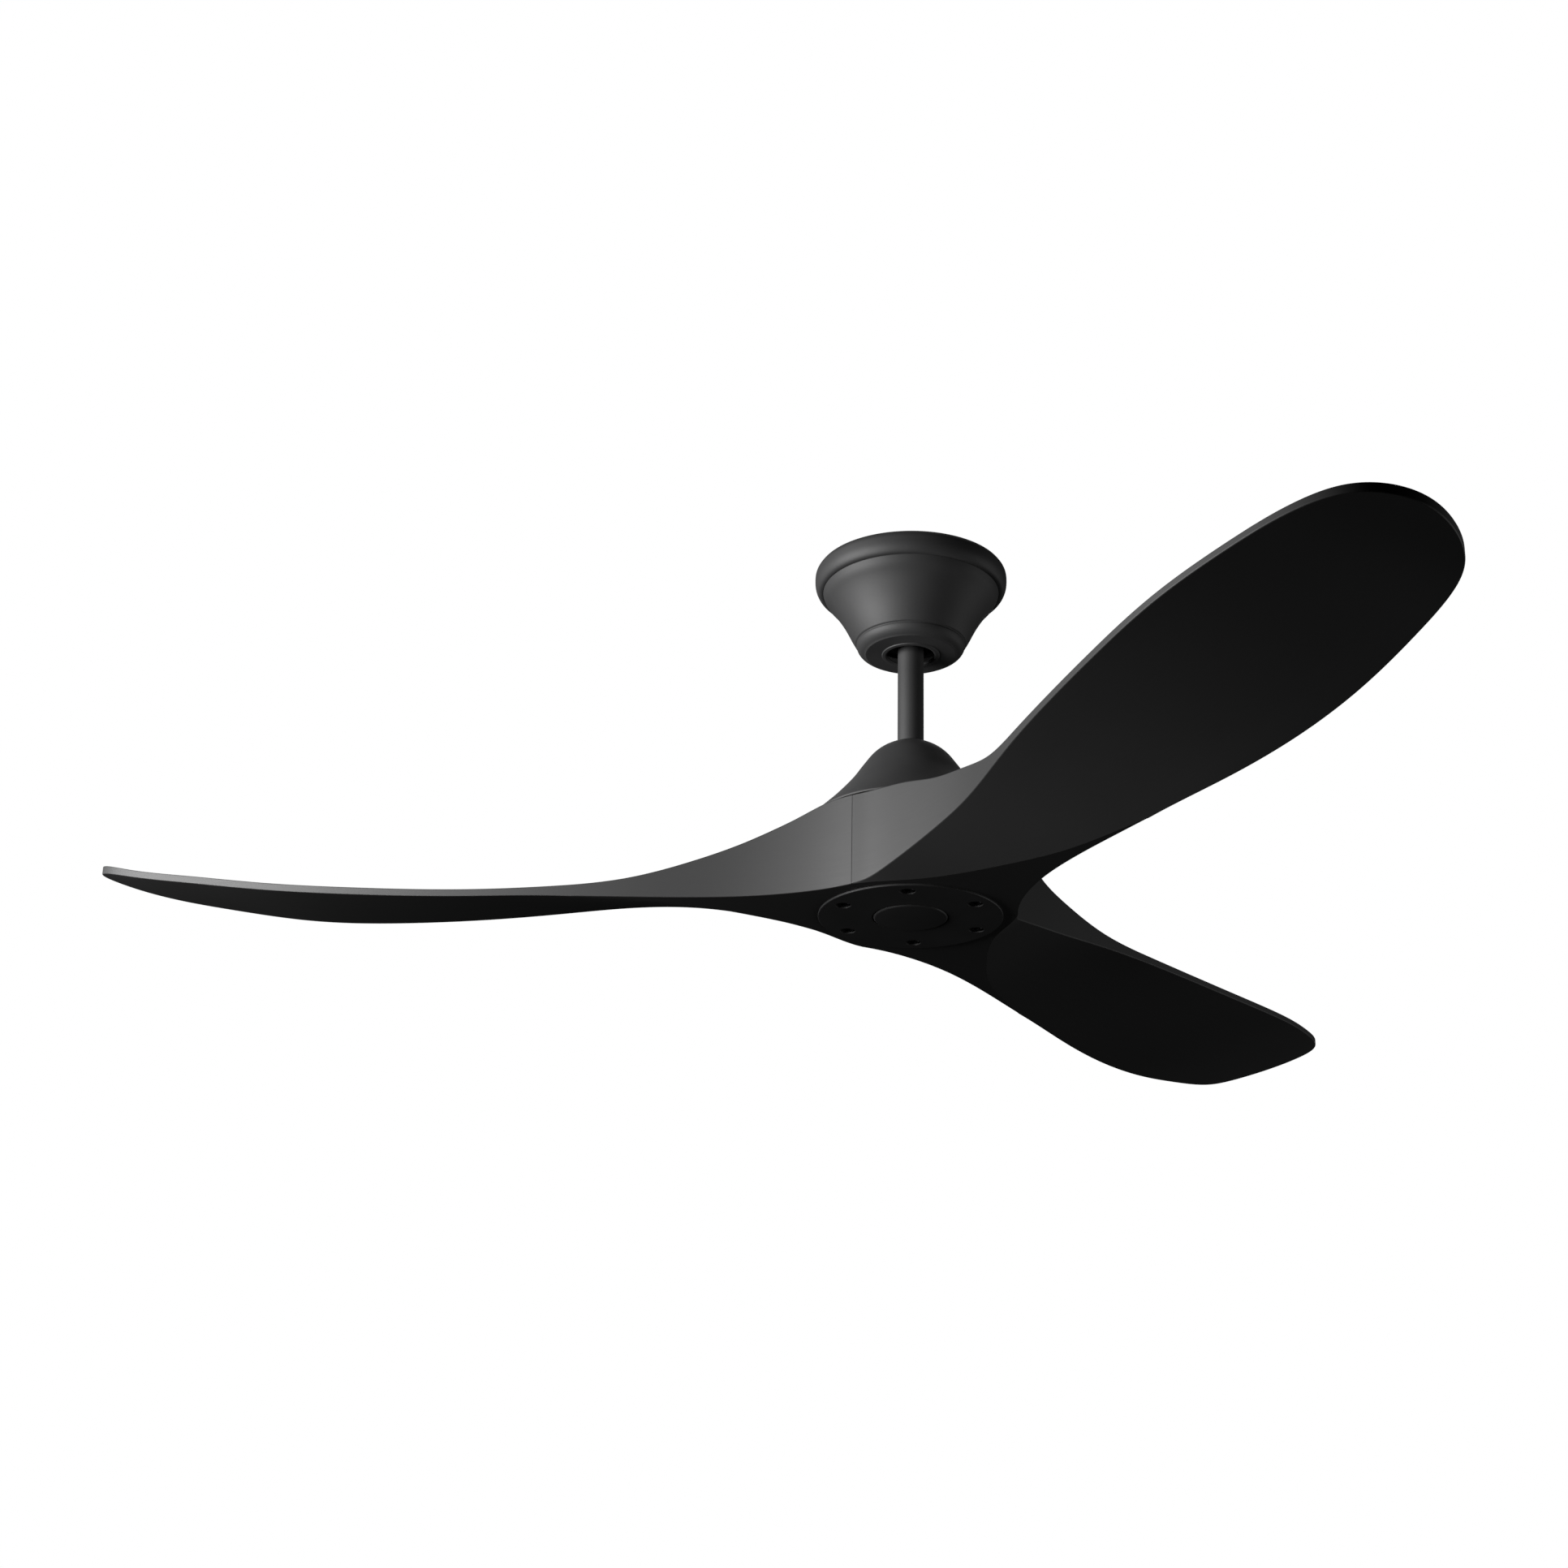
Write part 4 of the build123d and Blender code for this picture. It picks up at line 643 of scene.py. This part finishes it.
# socket screws
def build_screw(sh, cx, cy, spin):
    seg = 48
    aa = np.linspace(0, 2 * math.pi, seg + 1)
    ca, sa = np.cos(aa), np.sin(aa)
    ca[-1], sa[-1] = ca[0], sa[0]
    hexr = 2.3

    def hexrad(a):
        k = (a - spin) % (math.pi / 3) - math.pi / 6
        return hexr * math.cos(math.pi / 6) / math.cos(k)

    # head from the socket's mouth outwards, then up round the head, washer face, shank and tip, with thread grooves
    prof = soften([(2.75, -1.0), (4.15, -1.0), (4.7, -0.45), (4.7, 1.4), (2.45, 1.4)], [0, 0.2, 0.2, 0.12, 0], 3)
    prof = list(map(tuple, prof))
    h = 3.2
    prof.append((2.45, h))
    while h < 16.0:
        prof += [(2.05, h + 0.35), (2.45, h + 0.7)]
        h += 0.8
        prof.append((2.45, h))
    prof += [(2.45, 17.0), (1.9, 17.5), (0.0, 17.5)]
    prof = np.array(prof)
    d = np.diff(prof, axis=0)
    ln = np.maximum(np.linalg.norm(d, axis=1), 1e-9)
    nn = np.stack([d[:, 1], -d[:, 0]], 1) / ln[:, None]
    for i in range(len(prof) - 1):
        (r0, h0), (r1, h1) = prof[i], prof[i + 1]
        if ln[i] < 1e-6:
            continue
        n = nn[i]
        A = np.stack([np.stack([cx + r0 * ca, cy + r0 * sa, np.full_like(ca, h0)], -1), np.stack([cx + r1 * ca, cy + r1 * sa, np.full_like(ca, h1)], -1)])
        N = np.stack([np.stack([n[0] * ca, n[0] * sa, np.full_like(ca, n[1])], -1)] * 2)
        sh.grid(A, N)
    # the mouth's chamfer, from the round to the hexagon, and the socket
    hx = np.array([hexrad(a) for a in aa])
    hx[-1] = hx[0]
    P = np.stack([np.stack([cx + 2.75 * ca, cy + 2.75 * sa, np.full_like(ca, -1.0)], -1),
                  np.stack([cx + hx * ca, cy + hx * sa, np.full_like(ca, -0.65)], -1),
                  np.stack([cx + hx * ca, cy + hx * sa, np.full_like(ca, 0.7)], -1)])
    for i in range(2):
        for j in range(seg):
            q = [P[i, j], P[i, j + 1], P[i + 1, j + 1], P[i + 1, j]]
            n = np.cross(q[1] - q[0], q[3] - q[0])
            n = n / max(np.linalg.norm(n), 1e-9)
            n = n * (1 if np.dot(n[:2], np.array([cx, cy]) - q[0][:2]) > 0 else -1)
            sh.add([q], [[n] * 4])
    centre = np.array([cx, cy, 1.0])
    for j in range(seg):
        q = [P[2, j], P[2, j + 1], centre, centre]
        n = np.cross(q[1] - q[0], q[2] - q[0])
        n = n / max(np.linalg.norm(n), 1e-9) * (-1 if n[2] > 0 else 1)
        sh.add([q], [[n] * 4])


screw_shell = Shell()
for i, az in enumerate(SCREW_AZ):
    build_screw(screw_shell, SCREW_PCR * math.cos(math.radians(az)), SCREW_PCR * math.sin(math.radians(az)), 0.37 * (i + 1))
screws = screw_shell.make("hub_socket_screws", Matrix.Translation((0, 0, Z0 / 1000)))
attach(screws, "rotor"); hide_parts("hub_screws")


# ---------------------------------------------------------------------------
# Materials
# ---------------------------------------------------------------------------
def node(tree, kind, **values):
    n = tree.nodes.new(kind)
    for k, v in values.items():
        if k in n.inputs:
            n.inputs[k].default_value = v
        else:
            setattr(n, k, v)
    return n


def base(name, color, rough, metal=0.0, spec=0.5, coat=0.0, coat_rough=0.3):
    m = bpy.data.materials.new(name)
    m.use_nodes = True
    t = m.node_tree
    b = t.nodes["Principled BSDF"]
    b.inputs["Base Color"].default_value = (*color, 1)
    b.inputs["Roughness"].default_value = rough
    b.inputs["Metallic"].default_value = metal
    b.inputs["Specular IOR Level"].default_value = spec
    b.inputs["Coat Weight"].default_value = coat
    b.inputs["Coat Roughness"].default_value = coat_rough
    m.diffuse_color = (*color, 1)
    return m, t, b


def coords(t, source="Object", scale=(1, 1, 1)):
    tc = t.nodes.new("ShaderNodeTexCoord")
    mp = t.nodes.new("ShaderNodeMapping")
    mp.inputs["Scale"].default_value = scale
    t.links.new(tc.outputs[source], mp.inputs["Vector"])
    return mp.outputs["Vector"]


def noise(t, vec, scale, detail=3.0, rough=0.5):
    n = t.nodes.new("ShaderNodeTexNoise")
    n.inputs["Scale"].default_value = scale
    n.inputs["Detail"].default_value = detail
    n.inputs["Roughness"].default_value = rough
    t.links.new(vec, n.inputs["Vector"])
    return n.outputs["Fac"]


def spread(t, fac, lo, hi, a=0.3, b=0.7):
    r = t.nodes.new("ShaderNodeMapRange")
    r.inputs["From Min"].default_value, r.inputs["From Max"].default_value = a, b
    r.inputs["To Min"].default_value, r.inputs["To Max"].default_value = lo, hi
    t.links.new(fac, r.inputs["Value"])
    return r.outputs["Result"]


def tint(t, b, fac, c0, c1, a=0.3, z=0.7):
    r = t.nodes.new("ShaderNodeValToRGB")
    r.color_ramp.elements[0].position, r.color_ramp.elements[1].position = a, z
    r.color_ramp.elements[0].color, r.color_ramp.elements[1].color = (*c0, 1), (*c1, 1)
    t.links.new(fac, r.inputs["Fac"])
    t.links.new(r.outputs["Color"], b.inputs["Base Color"])
    return r


def bump(t, b, fac, distance, strength=1.0, before=None):
    n = t.nodes.new("ShaderNodeBump")
    n.inputs["Distance"].default_value = distance
    n.inputs["Strength"].default_value = strength
    t.links.new(fac, n.inputs["Height"])
    if before is not None:
        t.links.new(before, n.inputs["Normal"])
    t.links.new(n.outputs["Normal"], b.inputs["Normal"])
    return n.outputs["Normal"]


def mat_blade():
    m, t, b = base("blade_black_lacquer", (0.030, 0.030, 0.030), 0.60, spec=0.5)
    uv = coords(t, "UV", (1, 1, 1))
    grain_vec = coords(t, "UV", (9, 210, 1))
    grain = noise(t, grain_vec, 3.2, 5.0, 0.62)
    pores = noise(t, coords(t, "UV", (60, 1500, 1)), 1.6, 3.0, 0.6)
    cloud = noise(t, uv, 5.0, 2.0, 0.5)
    tint(t, b, cloud, (0.0280, 0.0280, 0.0282), (0.0320, 0.0320, 0.0322))
    t.links.new(spread(t, grain, 0.575, 0.625), b.inputs["Roughness"])
    n1 = bump(t, b, grain, 0.00004, 0.35)
    bump(t, b, pores, 0.00002, 0.25, n1)
    return m


def mat_powder(name="black_powder", color=(0.0375, 0.0375, 0.038), rough=0.60, peel=1.0):
    m, t, b = base(name, color, rough, spec=0.5)
    v = coords(t, "Object")
    fine = noise(t, v, 2600.0, 2.0, 0.5)
    peel_n = noise(t, v, 480.0, 2.0, 0.45)
    cloud = noise(t, v, 26.0, 2.0, 0.5)
    tint(t, b, cloud, tuple(c * 0.9 for c in color), tuple(c * 1.1 for c in color))
    t.links.new(spread(t, fine, rough - 0.03, rough + 0.04), b.inputs["Roughness"])
    n1 = bump(t, b, peel_n, 0.00005 * peel, 0.25)
    bump(t, b, fine, 0.00002 * peel, 0.3, n1)
    return m


def mat_metal(name, color, rough, vary=0.08, scale=90.0, stretch=(1, 1, 1), dist=0.00002, spec=0.5):
    m, t, b = base(name, color, rough, metal=1.0, spec=spec)
    v = coords(t, "Object", stretch)
    n = noise(t, v, scale, 4.0, 0.55)
    big = noise(t, coords(t, "Object"), 35.0, 2.0, 0.5)
    tint(t, b, big, tuple(c * (1 - vary) for c in color), tuple(min(1, c * (1 + vary)) for c in color))
    t.links.new(spread(t, n, rough - 0.06, rough + 0.08), b.inputs["Roughness"])
    bump(t, b, n, dist, 0.5)
    return m


def mat_plastic(name, color, rough=0.45, scale=700.0, dist=0.00003, vary=0.05):
    m, t, b = base(name, color, rough)
    n = noise(t, coords(t, "Object"), scale, 2.0, 0.5)
    big = noise(t, coords(t, "Object"), 40.0, 2.0, 0.5)
    tint(t, b, big, tuple(c * (1 - vary) for c in color), tuple(min(1, c * (1 + vary)) for c in color))
    t.links.new(spread(t, n, rough - 0.04, rough + 0.05), b.inputs["Roughness"])
    bump(t, b, n, dist, 0.4)
    return m


def mat_copper():
    m, t, b = base("copper_winding", (0.72, 0.33, 0.14), 0.3, metal=1.0)
    w = t.nodes.new("ShaderNodeTexWave")
    w.bands_direction = "Z"
    w.inputs["Scale"].default_value = 320.0
    w.inputs["Distortion"].default_value = 0.6
    w.inputs["Detail"].default_value = 1.0
    t.links.new(coords(t, "Object"), w.inputs["Vector"])
    tint(t, b, w.outputs["Fac"], (0.34, 0.12, 0.04), (0.78, 0.38, 0.17), 0.1, 0.7)
    bump(t, b, w.outputs["Fac"], 0.0003, 0.8)
    return m


def mat_laminations():
    m, t, b = base("stator_laminations", (0.30, 0.31, 0.33), 0.42, metal=1.0)
    w = t.nodes.new("ShaderNodeTexWave")
    w.bands_direction = "Z"
    w.inputs["Scale"].default_value = 620.0
    t.links.new(coords(t, "Object"), w.inputs["Vector"])
    tint(t, b, w.outputs["Fac"], (0.16, 0.165, 0.18), (0.34, 0.35, 0.37), 0.05, 0.5)
    bump(t, b, w.outputs["Fac"], 0.0001, 0.6)
    return m


def mat_board():
    m, t, b = base("green_circuit_board", (0.03, 0.20, 0.09), 0.28, coat=0.4, coat_rough=0.12)
    br = t.nodes.new("ShaderNodeTexVoronoi")
    br.feature = "DISTANCE_TO_EDGE"
    br.inputs["Scale"].default_value = 260.0
    t.links.new(coords(t, "Object", (1, 1, 0.05)), br.inputs["Vector"])
    tint(t, b, br.outputs["Distance"], (0.06, 0.30, 0.13), (0.02, 0.15, 0.07), 0.02, 0.10)
    bump(t, b, br.outputs["Distance"], 0.00005, 0.3)
    return m


lacquer = mat_blade()
powder = mat_powder()
plate_paint = mat_powder("black_plate_paint", (0.038, 0.038, 0.0385), 0.50, 0.5)
FINISH = {
    "black_powder_coat": powder,
    "plate_coat": plate_paint,
    "blade_lacquer": lacquer,
    "zinc_plated_steel": mat_metal("bright_zinc", (0.62, 0.63, 0.65), 0.32, 0.06, 60.0, (1, 14, 1)),
    "black_oxide_steel": mat_metal("black_oxide", (0.045, 0.045, 0.05), 0.38, 0.1, 500.0),
    "die_cast_zinc": mat_metal("die_cast_zinc", (0.36, 0.37, 0.39), 0.5, 0.08, 900.0, dist=0.00008),
    "cast_aluminium": mat_metal("cast_aluminium", (0.66, 0.67, 0.68), 0.45, 0.05, 700.0, dist=0.00007),
    "bearing_steel": mat_metal("bearing_steel", (0.70, 0.70, 0.72), 0.14, 0.03, 300.0, (1, 1, 8), dist=0.000008),
    "electrical_steel": mat_laminations(),
    "copper_wire": mat_copper(),
    "ferrite": mat_plastic("sintered_ferrite", (0.07, 0.07, 0.075), 0.6, 1500.0, 0.00008, 0.1),
    "circuit_board": mat_board(),
    "black_nylon": mat_plastic("black_glass_nylon", (0.03, 0.03, 0.031), 0.5, 900.0, 0.00005),
    "white_plastic": mat_plastic("white_moulded_plastic", (0.80, 0.80, 0.77), 0.42),
    "cage_nylon": mat_plastic("natural_nylon", (0.74, 0.66, 0.50), 0.5),
    "black_rubber": mat_plastic("black_sheet_rubber", (0.028, 0.028, 0.028), 0.75, 1200.0, 0.00008),
    "cable_sheath": mat_plastic("cable_sheath", (0.06, 0.06, 0.065), 0.5, 1000.0, 0.00003),
    # The bracket's black electrocoat is its own finish, but its colour is set far darker than the other black paints as
    # painted shade, so the inside of the canopy hole reads black.
    "black_ecoat": mat_powder("black_electrocoat_and_shade", (0.010, 0.010, 0.0105), 0.55, 0.4),
    "earth_green": mat_metal("green_passivated_steel", (0.07, 0.36, 0.13), 0.35, 0.08, 200.0),
}


def paint(ob, m):
    ob.data.materials.clear()
    ob.data.materials.append(m)


slots = {s["node"]: s["material_slot"] for s in frame["record"]["subparts"]}
for name, ob in NODES.items():
    paint(ob, FINISH[slots[name]])
for ob in blade_obs:
    paint(ob, lacquer)
for ob in (canopy, ring, bell):
    paint(ob, powder)
for ob in (plate, cap):
    paint(ob, plate_paint)
paint(screws, mat_metal("black_oxide_screw", (0.10, 0.10, 0.105), 0.24, 0.1, 500.0))
# The hanger ball is given a near-black colour, far darker than the black nylon finish, as painted shade for the unlit
# inside of the canopy hole; its faint noise is random tone.
ball_painted_shade, ball_tree, ball_bsdf = base("ball_painted_shade", (0.006, 0.006, 0.006), 0.7, spec=0.25)
tint(ball_tree, ball_bsdf, noise(ball_tree, coords(ball_tree, "Object"), 60.0, 2.0, 0.5), (0.005, 0.005, 0.005), (0.008, 0.008, 0.008))
bump(ball_tree, ball_bsdf, noise(ball_tree, coords(ball_tree, "Object"), 900.0, 2.0, 0.5), 0.00004, 0.3)
paint(NODES["hanger_ball"], ball_painted_shade)


# ---------------------------------------------------------------------------
# Camera, stage and light
# ---------------------------------------------------------------------------
PITCH, YAW, ROLL = math.radians(22.7119), math.radians(3.0086), math.radians(-1.2272)
fwd = Vector((-math.sin(YAW), math.cos(YAW), 0))
right = Vector((math.cos(YAW), math.sin(YAW), 0))
F = fwd * math.cos(PITCH) + Vector((0, 0, math.sin(PITCH)))
U = -fwd * math.sin(PITCH) + Vector((0, 0, math.cos(PITCH)))
R1 = right * math.cos(ROLL) - U * math.sin(ROLL)
U1 = right * math.sin(ROLL) + U * math.cos(ROLL)
cam_data = bpy.data.cameras.new("camera")
cam_data.sensor_width = 36.0
cam_data.lens = 3218.0 / 1932.0 * 36.0
cam_data.clip_start, cam_data.clip_end = 0.05, 200.0
cam = bpy.data.objects.new("camera", cam_data)
SCENE.collection.objects.link(cam)
cam.matrix_world = Matrix((
    (R1.x, U1.x, -F.x, 0.0),
    (R1.y, U1.y, -F.y, -1.94873),
    (R1.z, U1.z, -F.z, Z0 / 1000 - 0.70365),
    (0, 0, 0, 1)))
SCENE.camera = cam

SCENE.view_settings.view_transform = "Standard"
SCENE.view_settings.look = "None"


def floor_plane():
    me = bpy.data.meshes.new("floor")
    s, z = 45.0, -3.4
    me.from_pydata([(-s, -s, z), (s, -s, z), (s, s, z), (-s, s, z)], [], [(0, 1, 2, 3)])
    ob = bpy.data.objects.new("floor", me)
    SCENE.collection.objects.link(ob)
    m, t, b = base("pale_floor", (0.82, 0.82, 0.82), 0.85, spec=0.2)
    tint(t, b, noise(t, coords(t, "Object"), 1.2, 2.0, 0.5), (0.80, 0.80, 0.80), (0.84, 0.84, 0.84))
    ob.data.materials.append(m)
    ob.visible_diffuse = False
    ob.visible_glossy = False
    return ob


floor = floor_plane()

world = bpy.data.worlds.new("studio")
SCENE.world = world
world.use_nodes = True
wt = world.node_tree
wt.nodes.clear()
out = wt.nodes.new("ShaderNodeOutputWorld")
mix = wt.nodes.new("ShaderNodeMixShader")
seen = wt.nodes.new("ShaderNodeBackground")
seen.inputs["Color"].default_value = (1, 1, 1, 1)
seen.inputs["Strength"].default_value = 1.0
felt = wt.nodes.new("ShaderNodeBackground")
felt.inputs["Color"].default_value = (1, 1, 1, 1)
felt.inputs["Strength"].default_value = 0.004
path = wt.nodes.new("ShaderNodeLightPath")
wt.links.new(path.outputs["Is Camera Ray"], mix.inputs["Fac"])
wt.links.new(felt.outputs["Background"], mix.inputs[1])
wt.links.new(seen.outputs["Background"], mix.inputs[2])
wt.links.new(mix.outputs["Shader"], out.inputs["Surface"])


def area(name, where, aim, size, power, size_y=None, spread_deg=180):
    d = bpy.data.lights.new(name, "AREA")
    d.shape = "RECTANGLE"
    d.size, d.size_y = size, size_y or size
    d.energy = power
    d.spread = math.radians(spread_deg)
    ob = bpy.data.objects.new(name, d)
    SCENE.collection.objects.link(ob)
    ob.location = where
    ob.rotation_mode = "QUATERNION"
    ob.rotation_quaternion = (Vector(aim) - Vector(where)).to_track_quat("-Z", "Y")
    return ob


hub_z = Z0 / 1000 + 0.04


def around(name, az, el, far, size, power, size_y=None):
    """A soft light that faces the hub from a compass direction and a height angle, in degrees."""
    a, e = math.radians(az), math.radians(el)
    where = (far * math.cos(a) * math.cos(e), far * math.sin(a) * math.cos(e), hub_z + far * math.sin(e))
    ob = area(name, where, (0, 0, hub_z), size, power, size_y)
    ob.visible_camera = False
    return ob


around("key", 211, 1.5, 0.83, 0.55, 9.7, 0.50)
around("key_mid", 198, -2, 1.2, 0.55, 2.6)
around("key_side", 190, 5, 1.5, 0.6, 6.6)
around("rim_low", 22, -20, 2.2, 0.9, 4.4)
around("fill_right", 0, -1, 2.0, 0.8, 3.8)
around("back_soft", 88, 38, 2.6, 1.4, 5.0)
top_light = area("top_soft", (0.3, 0.9, 2.4), (0, 0, hub_z), 1.6, 5.0)
top_light.visible_camera = False

fsun = bpy.data.lights.new("floor_sun", "SUN")
fsun.energy = 2.6
fsun.angle = math.radians(12)
fsun_ob = bpy.data.objects.new("floor_sun", fsun)
SCENE.collection.objects.link(fsun_ob)
fsun_ob.rotation_euler = (math.radians(18), math.radians(-14), 0)
only_floor = bpy.data.collections.new("only_floor")
SCENE.collection.children.link(only_floor)
only_floor.objects.link(floor)
fsun_ob.light_linking.receiver_collection = only_floor
